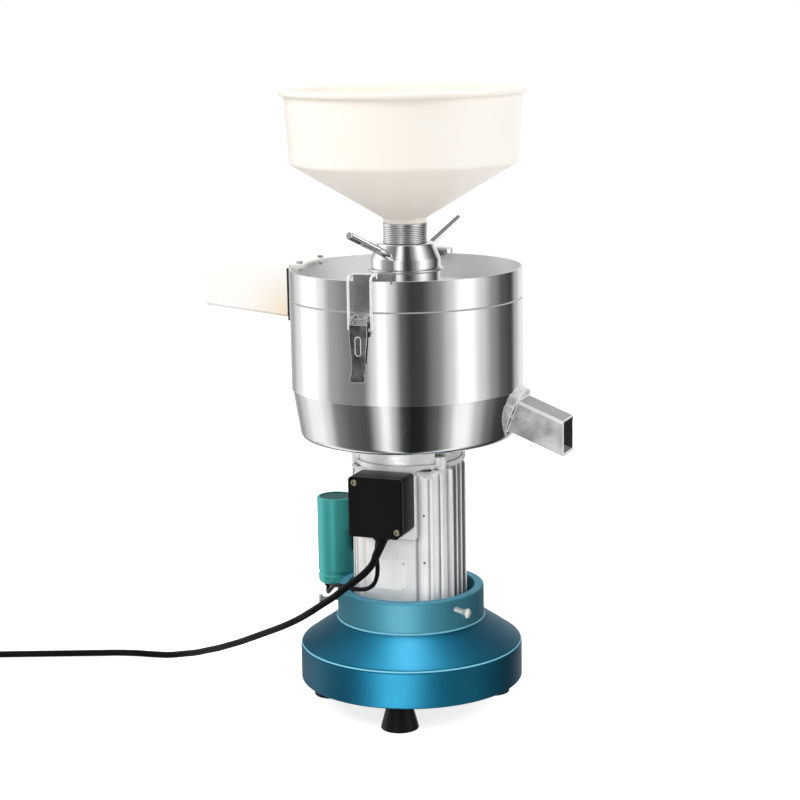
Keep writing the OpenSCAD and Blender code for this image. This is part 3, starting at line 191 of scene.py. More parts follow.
def steelSheet(name, slot, **look):
    finish = Finish(name, slot, {"Metallic": 1})
    lines = finish.noise(look["grain"], 4, stretch=(1, 1, look["stretch"]))
    finish.set({"Base Color": finish.mottle(finish.noise(9, 2), look, 0.35, 0.65),
                "Roughness": finish.sheen(lines, look["rough"], 0.03, 0.04),
                "Normal": finish.bump(lines, look["lift"], 0.0004)})
    return finish


def paintedMetal(name, slot, **look):
    finish = Finish(name, slot, {"Coat Weight": look["coat"], "Coat Roughness": look["coatRough"], "Coat IOR": 1.5})
    flake = finish.noise(1400, 2)
    skin = finish.noise(60, 3)
    high = finish.axes().of("Z")
    # the paint is duller round the motor's socket, with a paler colour there as a painted highlight; its rim is
    # painted darker as painted shade, and two edges are painted pale as painted highlights
    socket = finish.band(high, *look["dullFrom"])
    # painted highlight: a paler colour round the socket
    tint = finish.blendColour(socket, finish.mottle(finish.noise(14, 2), look), look["dull"])
    # painted shade: the rim's top is darker
    tint = finish.blendColour(finish.band(high, *look["rimFrom"]), tint, look["rim"])
    tint = finish.blendColour(finish.band(flake, 0.45, 0.75, 0, 0.35), tint, look["flake"])
    # painted highlights along the shoulder and the socket's foot
    rubbed, fade = 0, look["rubbedFade"]
    for low, top in look["rubbedAt"]:
        rubbed = rubbed + finish.band(high, low - fade, low) * finish.band(high, top + fade, top)
    finish.set({"Base Color": finish.blendColour(rubbed, tint, look["rubbed"]),
                "Metallic": look["metal"] - rubbed * look["rubbedLess"],
                "Roughness": finish.sheen(flake, look["rough"], 0.05, 0.05) + socket * look["dullRough"],
                "Normal": finish.bump(skin, 0.05, 0.0005)})
    return finish


def mouldedPlastic(name, slot, **look):
    finish = Finish(name, slot, {"Metallic": look.get("metal", 0), "Specular IOR Level": look.get("gloss", 0.5),
                                 "Subsurface Weight": look.get("soft", 0), **plasticDepth})
    grain = finish.noise(look["grain"], 2)
    finish.set({"Base Color": finish.mottle(finish.noise(18, 2), look),
                "Roughness": finish.sheen(grain, look["rough"], 0.05, 0.06),
                "Normal": finish.bump(grain, look["lift"], 0.0002)})
    return finish


def chutePlastic(name, slot, **look):
    # painted shade: the cream plastic turns peach low down beside the drum
    finish = Finish(name, slot, {"Specular IOR Level": 0.4, "Subsurface Weight": 0.1, **plasticDepth})
    spot = finish.axes()
    cloud = finish.noise(22, 3)
    near = finish.band(spot.of("X"), look["start"], look["end"])
    down = finish.band(spot.of("Z"), look["top"], look["bottom"])
    share = finish.band(near * 0.25 + near * down * 0.85 + cloud * 0.2, 0.3, 1.2)
    finish.set({"Base Color": finish.blendColour(share, look["light"], look["peach"]),
                "Roughness": finish.sheen(cloud, look["rough"], 0.05, 0.08)})
    return finish


def castMetal(name, slot, **look):
    finish = Finish(name, slot, {"Metallic": look["metal"]})
    pits = finish.noise(look["grain"], 5, 0.65)
    specks = finish.band(finish.noise(420, 2), 0.66, 0.74)
    tint = finish.mottle(finish.noise(32, 4), look)
    if "crevice" in look:
        # painted shade where the casting's ribs close in: the colour darkens in the crevices
        clear = finish.node("ShaderNodeAmbientOcclusion", {"samples": 6, "only_local": True},
                            {"Distance": look["crevice"]}, out="AO")
        tint = finish.blendColour(finish.band(clear, 0.42, 0.9), look["soot"], tint)
    finish.set({"Base Color": finish.blendColour(specks * look["speck"], tint, look["soot"]),
                "Roughness": finish.sheen(pits, look["rough"], 0.1, 0.12),
                "Normal": finish.bump(pits, look["lift"], 0.0008)})
    return finish


def plainMetal(name, slot, **look):
    finish = Finish(name, slot, {"Metallic": 1})
    worn = finish.noise(look.get("grain", 160), 4)
    scratch = finish.noise(900, 2, stretch=(1, 1, 0.06))
    finish.set({"Base Color": finish.mottle(worn, look, 0.35, 0.7),
                "Roughness": finish.sheen(worn, look["rough"], 0.04, 0.08),
                "Normal": finish.bump(scratch, look.get("lift", 0.04), 0.0002)})
    return finish


drumSteel = steelSheet(
    "drumSteel", "stainless", light=grey(0.86), dark=(0.8, 0.8, 0.805), rough=0.12, stretch=0.03, grain=700,
    lift=0.02)
# the bowl's steel is the drum's steel painted darker, as painted shade
bowlSteel = steelSheet(
    "bowlSteel", "stainless", light=grey(0.72), dark=(0.66, 0.66, 0.665), rough=0.13, stretch=0.03, grain=700,
    lift=0.02)
turnedSteel = steelSheet(
    "turnedSteel", "machined_steel", light=grey(0.82), dark=grey(0.7), rough=0.2, stretch=14, grain=90, lift=0.06)
chrome = steelSheet(
    "chrome", "bright_chrome", light=grey(0.9), dark=(0.85, 0.85, 0.86), rough=0.07, stretch=1, grain=300,
    lift=0.01)
# the socket's paler colour and the two pale edge lines are painted highlights, the darker rim is painted shade
bluePaint = paintedMetal(
    "bluePaint", "blue_paint", light=(0.002, 0.078, 0.13), dark=(0.001, 0.062, 0.112), flake=(0.02, 0.13, 0.2),
    metal=0.95, rough=0.5, coat=0.06, coatRough=0.34, dull=(0.046, 0.175, 0.225), dullFrom=(0.103, 0.107),
    dullRough=0.17, rim=(0.05, 0.165, 0.22), rimFrom=(0.1385, 0.1395), rubbed=(0.1, 0.29, 0.38),
    rubbedAt=[(0.0739, 0.0749), (0.1039, 0.105)], rubbedFade=0.0004, rubbedLess=0.75)
milkPlastic = mouldedPlastic(
    "milkPlastic", "white_plastic", light=(0.95, 0.915, 0.86), dark=(0.94, 0.9, 0.84), rough=0.36, soft=0.1, lift=0,
    grain=300)
# the peach low down beside the drum is painted shade
creamPlastic = chutePlastic(
    "creamPlastic", "cream_plastic", light=(0.95, 0.94, 0.92), peach=(0.9, 0.77, 0.63), start=-0.2, end=-0.135,
    top=0.505, bottom=0.455, rough=0.34)
boxPlastic = mouldedPlastic(
    "boxPlastic", "black_plastic", light=grey(0.007), dark=grey(0.004), rough=0.38, lift=0.1, grain=1400,
    gloss=0.16)
tealFilm = mouldedPlastic(
    "tealFilm", "teal_plastic", light=(0.08, 0.5, 0.48), dark=(0.075, 0.47, 0.455), metal=0.55, rough=0.4, lift=0,
    grain=500, gloss=0.3)
tealDisc = mouldedPlastic(
    "tealDisc", "teal_plastic", light=(0.006, 0.085, 0.08), dark=(0.005, 0.07, 0.066), rough=0.5, lift=0.08,
    grain=700, gloss=0.15)
footRubber = mouldedPlastic(
    "footRubber", "black_rubber", light=grey(0.009), dark=grey(0.005), rough=0.42, lift=0.2, grain=800, gloss=0.16)
cordJacket = mouldedPlastic(
    "cordJacket", "black_pvc", light=grey(0.006), dark=grey(0.003), rough=0.4, lift=0.05, grain=900, gloss=0.1)
# black nylon for the cord tie, and also a painted shadow in the chute's gap at the drum
nylonBlack = mouldedPlastic(
    "nylonBlack", "black_nylon", light=grey(0.02), dark=grey(0.012), rough=0.5, lift=0.3, grain=700)
sealRubber = mouldedPlastic(
    "sealRubber", "seal_rubber", light=(0.5, 0.5, 0.49), dark=(0.42, 0.42, 0.41), rough=0.6, lift=0.2, grain=800)
platePaint = mouldedPlastic(
    "platePaint", "cast_aluminium", light=grey(0.88), dark=grey(0.8), rough=0.4, lift=0.05, grain=400)
gapShade = mouldedPlastic(
    "gapShade", "black_plastic", light=grey(0.01), dark=grey(0.006), rough=0.7, lift=0.1, grain=900)
lidSatin = castMetal(
    "lidSatin", "stainless", light=grey(0.9), dark=grey(0.86), soot=grey(0.6), metal=0.25, rough=0.4, grain=200,
    lift=0.02, speck=0)
# the motor casting is darkened in its crevices as painted shade
castAlloy = castMetal(
    "castAlloy", "cast_aluminium", light=grey(0.94), dark=grey(0.84), soot=(0.045, 0.045, 0.048), metal=0.3,
    rough=0.42, grain=260, lift=0.4, speck=0.3, crevice=0.012)
rawSteel = castMetal(
    "rawSteel", "stainless", light=grey(0.97), dark=(0.36, 0.36, 0.37), soot=(0.2, 0.2, 0.21), metal=0.5,
    rough=0.32, grain=140, lift=0.25, speck=0.35)
# painted shade for the spout's darker top face
dullSteel = castMetal(
    "dullSteel", "stainless", light=(0.5, 0.5, 0.505), dark=(0.38, 0.38, 0.385), soot=grey(0.2), metal=0.6,
    rough=0.5, grain=160, lift=0.15, speck=0.3)
# painted shade for the inside of the spout
wetSteel = castMetal(
    "wetSteel", "stainless", light=grey(0.03), dark=grey(0.008), soot=grey(0.01), metal=0.5, rough=0.3, grain=120,
    lift=0.2, speck=0.3)
# painted highlight for the spout's upper edge
spoutEdge = castMetal(
    "spoutEdge", "stainless", light=grey(0.98), dark=grey(0.8), soot=grey(0.5), metal=0.2, rough=0.35, grain=140,
    lift=0.15, speck=0.2)
lugIron = castMetal(
    "lugIron", "latch_steel", light=grey(0.5), dark=(0.24, 0.24, 0.25), soot=grey(0.1), metal=0.9, rough=0.45,
    grain=320, lift=0.5, speck=0.5)
grindStone = castMetal(
    "grindStone", "grinding_stone", light=(0.36, 0.35, 0.33), dark=(0.22, 0.21, 0.2), soot=grey(0.1), metal=0,
    rough=0.85, grain=500, lift=0.8, speck=0.6)
wireSteel = castMetal(
    "wireSteel", "wire_steel", light=grey(0.98), dark=grey(0.94), soot=grey(0.5), metal=0.3, rough=0.3, grain=300,
    lift=0.02, speck=0)
zincSteel = plainMetal("zincSteel", "zinc_steel", light=(0.8, 0.8, 0.79), dark=(0.62, 0.62, 0.61), rough=0.28)
paleZinc = plainMetal("paleZinc", "zinc_steel", light=(0.86, 0.86, 0.85), dark=(0.74, 0.74, 0.73), rough=0.34)
yellowZinc = plainMetal("yellowZinc", "zinc_steel", light=(0.74, 0.7, 0.5), dark=(0.5, 0.47, 0.32), rough=0.3)
latchNickel = plainMetal(
    "latchNickel", "latch_steel", light=(0.36, 0.36, 0.37), dark=(0.13, 0.13, 0.135), rough=0.22, lift=0.08,
    grain=90)
# painted highlight for the latches' broken edges
latchEdge = plainMetal("latchEdge", "latch_steel", light=grey(0.97), dark=grey(0.88), rough=0.36)
coreSteel = plainMetal("coreSteel", "core_steel", light=(0.46, 0.46, 0.47), dark=(0.32, 0.32, 0.33), rough=0.35)
copperWire = plainMetal("copperWire", "copper", light=(0.76, 0.36, 0.16), dark=(0.56, 0.24, 0.1), rough=0.3)
pinBrass = plainMetal("pinBrass", "pin_brass", light=(0.75, 0.62, 0.36), dark=(0.6, 0.48, 0.26), rough=0.25)
print("finishes made")


# the photograph's camera, and a plain studio

cameraPlace = dict(distance=2.229, height=0.7886, around=21.6, down=11, aside=0.226, roll=-0.95, lens=90, sensor=36)


def turned(angle, axis):
    return Matrix.Rotation(math.radians(angle), 4, axis)


def at(x, y, z):
    # a place in millimetres
    return Matrix.Translation((x * mm, y * mm, z * mm))


def makeCamera(p):
    data = bpy.data.cameras.new("photoCamera")
    data.sensor_width = p["sensor"]
    data.lens = p["lens"]
    data.clip_end = 50
    camera = newObject("photoCamera", data)
    around = math.radians(p["around"])
    spot = Matrix.Translation((p["distance"] * math.sin(around), -p["distance"] * math.cos(around), p["height"]))
    camera.matrix_world = (spot @ turned(p["around"] + p["aside"], "Z") @ turned(90 - p["down"], "X")
                           @ turned(p["roll"], "Z"))
    scene.camera = camera


makeCamera(cameraPlace)
scene.view_settings.view_transform = "Standard"

# strips give the brightness round the room as metal sees it, in degrees from the camera towards its right
studio = dict(
    ambient=(1, 0.99, 0.97), ambientLevel=0.5, ceiling=0.62, ceilingFrom=(0.84, 0.97), lowShare=0.3,
    lowFrom=(-0.45, -0.22),
    strips=[(-180, 0.9), (-152, 0.42), (-134, 0.85), (-119, 1.3), (-105, 1.34), (-92, 0.95), (-80, 0.42),
            (-58, 0.25), (-43, 0.2), (-34, 0.75), (-24, 1.42), (-15, 0.78), (-5, 0.13), (4, 0.045), (14, 0.06),
            (30, 0.27), (44, 0.72), (54, 1.28), (64, 1.34), (78, 0.76), (94, 0.31), (108, 0.11), (125, 0.055),
            (135, 0.5), (150, 0.9), (180, 0.9)])


def makeWorld(p):
    world = bpy.data.worlds.new("studioRoom")
    scene.world = world
    world.use_nodes = True
    book = NodeBook(world.node_tree)
    book.tree.nodes.clear()
    way = book.node("ShaderNodeSeparateXYZ", None, {"Vector": book.node("ShaderNodeTexCoord", out="Generated")})
    height = way.of("Z")
    around = book.maths("ARCTAN2", way.of("X"), 0 - way.of("Y"))
    turn = book.maths("FRACT", (around - math.radians(cameraPlace["around"])) / (2 * math.pi) + 0.5)
    stops = [((angle + 180) / 360, grey(level)) for angle, level in p["strips"]]
    # times one turns the ramp's colour into a plain value
    strips = book.node("ShaderNodeValToRGB", {"stops": stops, "interpolation": "EASE"}, {"Fac": turn}) * 1
    # towards the ground the bright strips stay and the rest darkens
    sunk = p["lowShare"] + (1 - p["lowShare"]) * book.band(strips, 0, 1)
    clear = book.band(height, *p["lowFrom"])
    walls = strips * (1 - clear) * sunk + strips * clear
    room = book.blendColour(book.band(height, *p["ceilingFrom"]), walls, grey(p["ceiling"]))
    rays = book.node("ShaderNodeLightPath", out="Is Camera Ray")
    soft = book.node("ShaderNodeBackground", None, {"Color": (*p["ambient"], 1), "Strength": p["ambientLevel"]})
    seen = book.node("ShaderNodeBackground", None, {"Color": room, "Strength": 1})
    white = book.node("ShaderNodeBackground", None, {"Color": (1, 1, 1, 1), "Strength": 1})
    metal = book.node("ShaderNodeMixShader", None, {0: rays.of("Is Glossy Ray"), 1: soft, 2: seen})
    through = book.maths("MAXIMUM", rays, rays.of("Is Transmission Ray"))
    book.node("ShaderNodeOutputWorld", None,
              {"Surface": book.node("ShaderNodeMixShader", None, {0: through, 1: metal, 2: white})})


makeWorld(studio)

# around is in degrees from the camera towards its right
lampSet = [
    dict(name="keyLamp", around=-56, up=42, far=2.6, size=1.4, power=38, tint=(1, 0.985, 0.955)),
    dict(name="fillLamp", around=74, up=28, far=2.8, size=1.4, power=34, tint=(0.98, 0.99, 1)),
    dict(name="backLamp", around=175, up=55, far=2.8, size=1.6, power=22),
]
# each of these strikes only the pieces named in it
linkedSet = [
    dict(name="skirtSheen", around=-15, up=-12, far=2.4, size=1.8, high=0.5, power=100, tint=(0.97, 0.99, 1),
         aim=0.1, only=["baseCasting"], seen=False),
    dict(name="coneSheen", around=-147, up=85.5, far=2, size=0.5, high=0.5, power=56, tint=(0.97, 0.99, 1),
         aim=0.09, only=["baseCasting"], seen=False),
    dict(name="warmBounce", around=-6, up=-55, far=2.4, size=1.2, high=0.8, power=6.5, tint=(1, 0.82, 0.66),
         aim=0.62, only=["hopperShell"]),
    dict(name="motorFront", around=-24, up=14, far=2.4, size=0.7, high=0.7, power=16, aim=0.22,
         only=["motorHousing", "upperShield", "barePlate"]),
]
for name, around, up, size, high, power in (("handleSide", 134, -2, 1.6, 0.9, 5.6),
                                            ("handleBelow", 150, -47, 1.4, 0.6, 3.4),
                                            ("handleAbove", 155, 45, 1.4, 1, 5.4)):
    linkedSet.append(dict(name=name, around=around, up=up, far=1.6, size=size, high=high, power=power, aim=0.53,
                          only=["collarHandles"]))


def makeLamp(p, glossy):
    data = bpy.data.lights.new(p["name"], "AREA")
    data.shape = "RECTANGLE"
    data.size = p["size"]
    data.size_y = p.get("high", p["size"])
    data.energy = p["power"]
    data.color = p.get("tint", (1, 1, 1))
    # a linked lamp that other pieces hide is only sampled from its own side
    data.cycles.use_multiple_importance_sampling = p.get("seen", True)
    lamp = newObject(p["name"], data)
    around, up = math.radians(p["around"] + cameraPlace["around"]), math.radians(p["up"])
    way = Vector((math.sin(around) * math.cos(up), -math.cos(around) * math.cos(up), math.sin(up)))
    lamp.location = Vector((0, 0, p.get("aim", 0.36))) + way * p["far"]
    lamp.rotation_euler = way.to_track_quat("Z", "Y").to_euler()
    lamp.visible_glossy = glossy
    lamp.visible_camera = False
    return lamp


for one in lampSet:
    makeLamp(one, False)
linkedLamps = [(makeLamp(one, True), one["only"]) for one in linkedSet]

floorLook = dict(radius=7, below=0.0006, paper=(0.8, 0.8, 0.8, 1), glow=0.78)


def makeFloor(p):
    bm = bmesh.new()
    bmesh.ops.create_circle(bm, cap_ends=True, segments=96, radius=p["radius"])
    bmesh.ops.translate(bm, verts=bm.verts, vec=(0, 0, -p["below"]))
    mesh = meshFrom(bm, "studioFloor")
    floor = newObject("studioFloor", mesh)
    material = bpy.data.materials.new("floorPaper")
    material.use_nodes = True
    book = NodeBook(material.node_tree)
    book.tree.nodes.clear()
    rays = book.node("ShaderNodeLightPath", out="Is Camera Ray")
    paper = book.node("ShaderNodeBsdfDiffuse", None, {"Color": p["paper"]})
    glow = book.node("ShaderNodeEmission", None, {"Color": (1, 1, 1, 1), "Strength": rays * p["glow"]})
    book.node("ShaderNodeOutputMaterial", None,
              {"Surface": book.node("ShaderNodeAddShader", None, {0: paper, 1: glow})})
    mesh.materials.append(material)
    floor.visible_glossy = False
    floor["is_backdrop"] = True


makeFloor(floorLook)
print("camera and studio set")


# modelling helpers

def keepPiece(bm, name, finish, node=None, body="stand", sharp=38, extra=(), mirrored=True):
    mesh = meshFrom(bm, name)
    mesh.shade_smooth()
    mesh.set_sharp_from_angle(angle=math.radians(sharp))
    piece = newObject(name, mesh)
    for one in (finish, *extra):
        mesh.materials.append(one.material)
    piece.visible_glossy = mirrored  # off where its image would hide the studio's strips in the steel
    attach(piece, body)
    if node:
        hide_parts(node)
    return piece


def breakEdges(bm, edges, size, segments):
    return bmesh.ops.bevel(bm, geom=edges, offset=size * mm, offset_type="OFFSET", segments=segments, profile=0.5,
                           affect="EDGES", material=-1)


copySharp = 19  # flat faces stay flat beside their broken edges
weld = 2e-6  # metres within which corners are joined
flatWithin = 0.6  # degrees between faces that count as one


def nodeCopy(node, edge, segments=2, angle=35, rim=0):
    # the CAD node's own shape, with its sharp edges broken; rim is the finish number of those edges
    bm = bmesh.new()
    bm.from_mesh(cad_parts[node].data)
    bmesh.ops.remove_doubles(bm, verts=bm.verts, dist=2 * weld)
    bmesh.ops.dissolve_limit(bm, angle_limit=math.radians(flatWithin), verts=bm.verts, edges=bm.edges)
    for face in bm.faces:
        face.material_index = 0
    if edge:
        sharp = [e for e in bm.edges if e.is_manifold and e.calc_face_angle(0) > math.radians(angle)]
        for face in breakEdges(bm, sharp, edge, segments)["faces"]:
            face.material_index = rim
    return bm


def dressNode(node, name, finish, edge, body="stand", segments=2, angle=35, rim=0, extra=(), mirrored=True):
    return keepPiece(nodeCopy(node, edge, segments, angle, rim), name, finish, node, body, copySharp, extra, mirrored)


ringGap = 0.5  # millimetres from an edge to the extra ring on a long band
ringShare = 0.2  # a band gets its rings while the gap is under this share of it


def spunMesh(points, rounds=None, steps=160):
    # points are (radius, height) in millimetres; rounds gives a fillet by the point's number
    bm = bmesh.new()
    corners = [bm.verts.new((r * mm, 0, z * mm)) for r, z in points]
    for pair in zip(corners, corners[1:]):
        bm.edges.new(pair)
    if points[0][0] > 0:  # a profile that starts on the axis stays open
        bm.edges.new((corners[-1], corners[0]))
    for number, size in (rounds or {}).items():
        bmesh.ops.bevel(bm, geom=[corners[number]], offset=size * mm, offset_type="OFFSET", segments=5, profile=0.5,
                        affect="VERTICES", material=-1, clamp_overlap=True)
    # a ring close to each end of a long band keeps its shading straight
    for wire in bm.edges[:]:
        near = ringGap * mm / wire.calc_length()
        if near < ringShare:
            vert = bmesh.utils.edge_split(wire, wire.verts[0], near)[1]
            rest = max(vert.link_edges, key=lambda one: one.calc_length())
            bmesh.utils.edge_split(rest, rest.other_vert(vert), near / (1 - near))
    bmesh.ops.spin(bm, geom=bm.verts[:] + bm.edges[:], cent=(0, 0, 0), axis=(0, 0, 1), angle=2 * math.pi,
                   steps=steps, use_merge=True)
    bmesh.ops.remove_doubles(bm, verts=bm.verts, dist=weld)
    bmesh.ops.recalc_face_normals(bm, faces=bm.faces)
    return bm


def boxMesh(low, high, edge=0):
    bm = bmesh.new()
    bmesh.ops.create_cube(bm, size=1)
    bmesh.ops.scale(bm, verts=bm.verts, vec=[(b - a) * mm for a, b in zip(low, high)])
    bmesh.ops.translate(bm, verts=bm.verts, vec=[(a + b) / 2 * mm for a, b in zip(low, high)])
    if edge:
        breakEdges(bm, bm.edges[:], edge, 2)
    return bm


def addTo(bm, other, matrix=None, tint=None):
    # copies another bmesh into this one
    if matrix is not None:
        bmesh.ops.transform(other, matrix=matrix, verts=other.verts)
    if tint is not None:
        for face in other.faces:
            face.material_index = tint
    spare = meshFrom(other, "spare")
    bm.from_mesh(spare)
    bpy.data.meshes.remove(spare)


def tintFaces(bm, number, chosen):
    # another finish for the faces whose middle, by its radius and height in millimetres, is chosen
    for face in bm.faces:
        spot = face.calc_center_median() / mm
        if chosen(spot.to_2d().length, spot.z):
            face.material_index = number


def domeScrew(radius, high, slots=2):
    # round head with a cross, flat side on z = 0; the cross is its second material
    bm = spunMesh([(0, 0), (radius, 0), (radius * 0.98, high * 0.45), (radius * 0.72, high * 0.86), (0, high)],
                  {1: 0.2}, steps=32)
    for turn in range(slots):
        bar = bmesh.new()
        bmesh.ops.create_cube(bar, size=1)
        bmesh.ops.scale(bar, verts=bar.verts, vec=(radius * 1.15 * mm, radius * 0.2 * mm, high * 0.5 * mm))
        breakEdges(bar, bar.edges[:], radius * 0.04, 1)
        addTo(bm, bar, at(0, 0, high * 0.76) @ turned(90 * turn + 30, "Z"), tint=1)
    return bm


def cutAway(piece, cutter, sharp=20):
    # takes a closed bmesh out of a finished piece
    mesh = meshFrom(cutter, "cutter")
    knife = newObject("cutter", mesh)
    change = piece.modifiers.new("cut", "BOOLEAN")
    change.operation = "DIFFERENCE"
    change.solver = "EXACT"
    change.object = knife
    graph = bpy.context.evaluated_depsgraph_get()
    done = bpy.data.meshes.new_from_object(piece.evaluated_get(graph))
    piece.modifiers.clear()
    old = piece.data
    done.set_sharp_from_angle(angle=math.radians(sharp))
    piece.data = done
    bpy.data.meshes.remove(old)
    bpy.data.objects.remove(knife)
    bpy.data.meshes.remove(mesh)


# cords: the mains on the route of the part's source, the lead drawn a little closer to it

cordLook = dict(thick=8, turns=2, over=0.25, pitch=8.6, radius=52, layer=5.3, rings=24, tail=24)
leadLook = dict(thick=5)
cordPoints = [(-7.2976, -87.5, 192.061), (-10.5, -87.5, 185), (-16, -87, 178), (-24, -87, 170), (-35, -86, 161),
              (-48, -84, 151), (-63, -80, 139), (-80, -74, 127), (-97, -68, 115), (-115, -60, 103), (-134, -53, 92),
              (-153, -45, 82), (-173, -36, 72), (-193, -27, 62), (-213, -17, 52), (-233, -8, 43), (-253, 2, 34),
              (-273, 12, 26), (-294, 21, 18), (-315, 28, 12), (-337, 32, 7), (-360, 33, 5), (-383, 30, 5),
              (-406, 24, 5), (-429, 15, 5), (-452, 6, 5), (-475, -3, 5), (-498, -12, 5), (-521, -21, 5),
              (-544, -30, 5), (-567, -39, 5), (-590, -48, 5), (-613, -57, 5.3), (-636, -66, 5.3)]
leadPoints = [(-6, -81, 214), (-7.6, -80.9, 205), (-8.4, -80.3, 196), (-8.4, -79.4, 186), (-8.4, -78.6, 176),
              (-10.4, -77.4, 166), (-15.4, -75.2, 157.2), (-23.5, -71.6, 151), (-33.5, -67.2, 147.6),
              (-44, -62.6, 146), (-55, -57, 145), (-68, -49, 144), (-79, -39, 140), (-89, -26, 132), (-98, -12, 124),
              (-106, 3, 119), (-110.687, 14.032, 119.7), (-112.187, 17.742, 122.7)]


def coilPoints(p, start, before):
    heading = Vector(start) - Vector(before)
    angle = math.atan2(heading.y, heading.x) + math.pi / 2
    lead = heading.normalized() * p["thick"]
    middle = (Vector((start[0] + lead.x, start[1] + lead.y, 0))
              - p["radius"] * Vector((math.cos(angle), math.sin(angle), 0)))
    points = []
    total = 2 * p["turns"] + p["over"]
    for i in range(round(p["rings"] * total) + 1):
        t = i / p["rings"]
        r = p["radius"] - p["pitch"] * min(t, 2 * p["turns"] - t)
        climb = min(1, max(0, (t - p["turns"]) * 2 + 0.5))
        turn = angle - 2 * math.pi * t
        points.append(middle + Vector((r * math.cos(turn), r * math.sin(turn), p["layer"] + p["pitch"] * climb)))
    last = angle - 2 * math.pi * total
    points.append(points[-1] + p["tail"] * Vector((math.sin(last), -math.cos(last), 0)))
    return [tuple(point) for point in points]


def cordCurve(name, points, thick, finish, body):
    data = bpy.data.curves.new(name, "CURVE")
    data.dimensions = "3D"
    data.bevel_depth = thick / 2 * mm
    data.bevel_resolution = 4
    data.resolution_u = 5
    data.use_fill_caps = True
    line = data.splines.new("BEZIER")
    line.bezier_points.add(len(points) - 1)
    for knot, point in zip(line.bezier_points, points):
        knot.co = Vector(point) * mm
        knot.handle_left_type = knot.handle_right_type = "AUTO"
    cord = newObject(name, data)
    data.materials.append(finish.material)
    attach(cord, body)
    return cord


def routeLength(points):
    return sum((Vector(b) - Vector(a)).length for a, b in zip(points, points[1:])) * mm


wholeRoute = cordPoints + coilPoints(cordLook, cordPoints[-1], cordPoints[-2])
mainsFlex = cordCurve("mainsFlex", wholeRoute, cordLook["thick"], cordJacket, "stand")
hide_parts("power_cord", "cord_coil")
capacitorLead = cordCurve("capacitorLead", leadPoints, leadLook["thick"], cordJacket, "stand")
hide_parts("capacitor_lead")
print("cords laid, mains", round(routeLength(wholeRoute), 3), "m, lead", round(routeLength(leadPoints), 3), "m")


# plug, tie

plugBody = dressNode("plug_body", "plugBody", cordJacket, 1.2, segments=3, angle=30)
plugPins = dressNode("plug_pins", "plugPins", pinBrass, 0.4)
cordTie = dressNode("cord_tie", "cordTie", nylonBlack, 0.25)


# base, feet and screws

baseLook = dict(
    skirt=128, foot=32, shoulder=74.5, collar=84.5, bore=73.5, coneTop=104, top=140, wall=6, web=6, hole=50,
    rounds={1: 1.4, 2: 3.4, 3: 1.6, 5: 2.6, 6: 1.6, 10: 3, 11: 5}, feet=[-77, 36, 112, 188], feetOut=96.5, boss=15,
    bossLong=46, bossAt=55.2, bossEdge=1.2)


def makeBase(p):
    inner, webLow = p["skirt"] - p["wall"], p["coneTop"] - p["web"]
    bm = spunMesh([(inner, p["foot"]), (p["skirt"], p["foot"]), (p["skirt"], p["shoulder"]),
                   (p["collar"] + 1, p["coneTop"]), (p["collar"], p["coneTop"] + 2), (p["collar"], p["top"]),
                   (p["bore"], p["top"]), (p["bore"], p["coneTop"]), (p["hole"], p["coneTop"]), (p["hole"], webLow),
                   (p["bore"] + 1, webLow), (inner, p["shoulder"] - p["wall"])], p["rounds"], steps=224)
    for angle in p["feet"]:
        boss = bmesh.new()
        bmesh.ops.create_cone(boss, cap_ends=True, segments=40, radius1=p["boss"] * mm, radius2=(p["boss"] - 1) * mm,
                              depth=p["bossLong"] * mm)
        ends = [e for e in boss.edges if len(e.link_faces) == 2 and e.calc_face_angle(0) > 1]
        breakEdges(boss, ends, p["bossEdge"], 3)
        addTo(bm, boss, turned(angle, "Z") @ at(p["feetOut"], 0, p["bossAt"]))
    keepPiece(bm, "baseCasting", bluePaint, "base_casting")


makeBase(baseLook)

footLook = dict(
    bottom=21.5, top=13, high=32, lip=3.2, lipIn=0.7, crown=3, crownOut=0.9, rimOut=0.6, recess=7.2, recessHigh=8,
    bore=3.1, rounds={0: 0.6, 1: 1.2, 2: 1.5, 3: 2, 4: 0.5})


def makeFeet(p):
    bm = bmesh.new()
    for angle in baseLook["feet"]:
        foot = spunMesh([(p["recess"], 0), (p["bottom"], 0), (p["bottom"] - p["lipIn"], p["lip"]),
                         (p["top"] + p["crownOut"], p["high"] - p["crown"]), (p["top"] + p["rimOut"], p["high"]),
                         (p["bore"], p["high"]), (p["bore"], p["recessHigh"]), (p["recess"], p["recessHigh"])],
                        p["rounds"], steps=72)
        addTo(bm, foot, turned(angle, "Z") @ at(baseLook["feetOut"], 0, 0))
    keepPiece(bm, "rubberFeet", footRubber, "rubber_feet")


makeFeet(footLook)

# each screw is (angle, where its tip ends)
setScrewLook = dict(
    screws=[(-32, 66.5), (90, 56), (212, 66.5)], high=128, headAt=102.5, shank=3, head=5.7, headHigh=4.5, pitch=1.1)


def setScrew(p, long):
    # head on z from 0 up, shank down from 0
    bm = bmesh.new()
    bmesh.ops.create_cone(bm, cap_ends=True, segments=6, radius1=p["head"] * mm, radius2=p["head"] * mm,
                          depth=p["headHigh"] * mm)
    bmesh.ops.translate(bm, verts=bm.verts, vec=(0, 0, p["headHigh"] / 2 * mm))
    breakEdges(bm, bm.edges[:], 0.09 * p["head"], 2)
    shank, z = p["shank"], -1
    points = [(0, 0), (shank, 0)]
    while z - p["pitch"] > 1 - long:
        points += [(shank, z), (shank * 0.84, z - p["pitch"] / 2)]
        z -= p["pitch"]
    points += [(shank * 0.95, 0.8 - long), (shank * 0.8, -long), (0, -long)]
    addTo(bm, spunMesh(points, steps=24))
    return bm


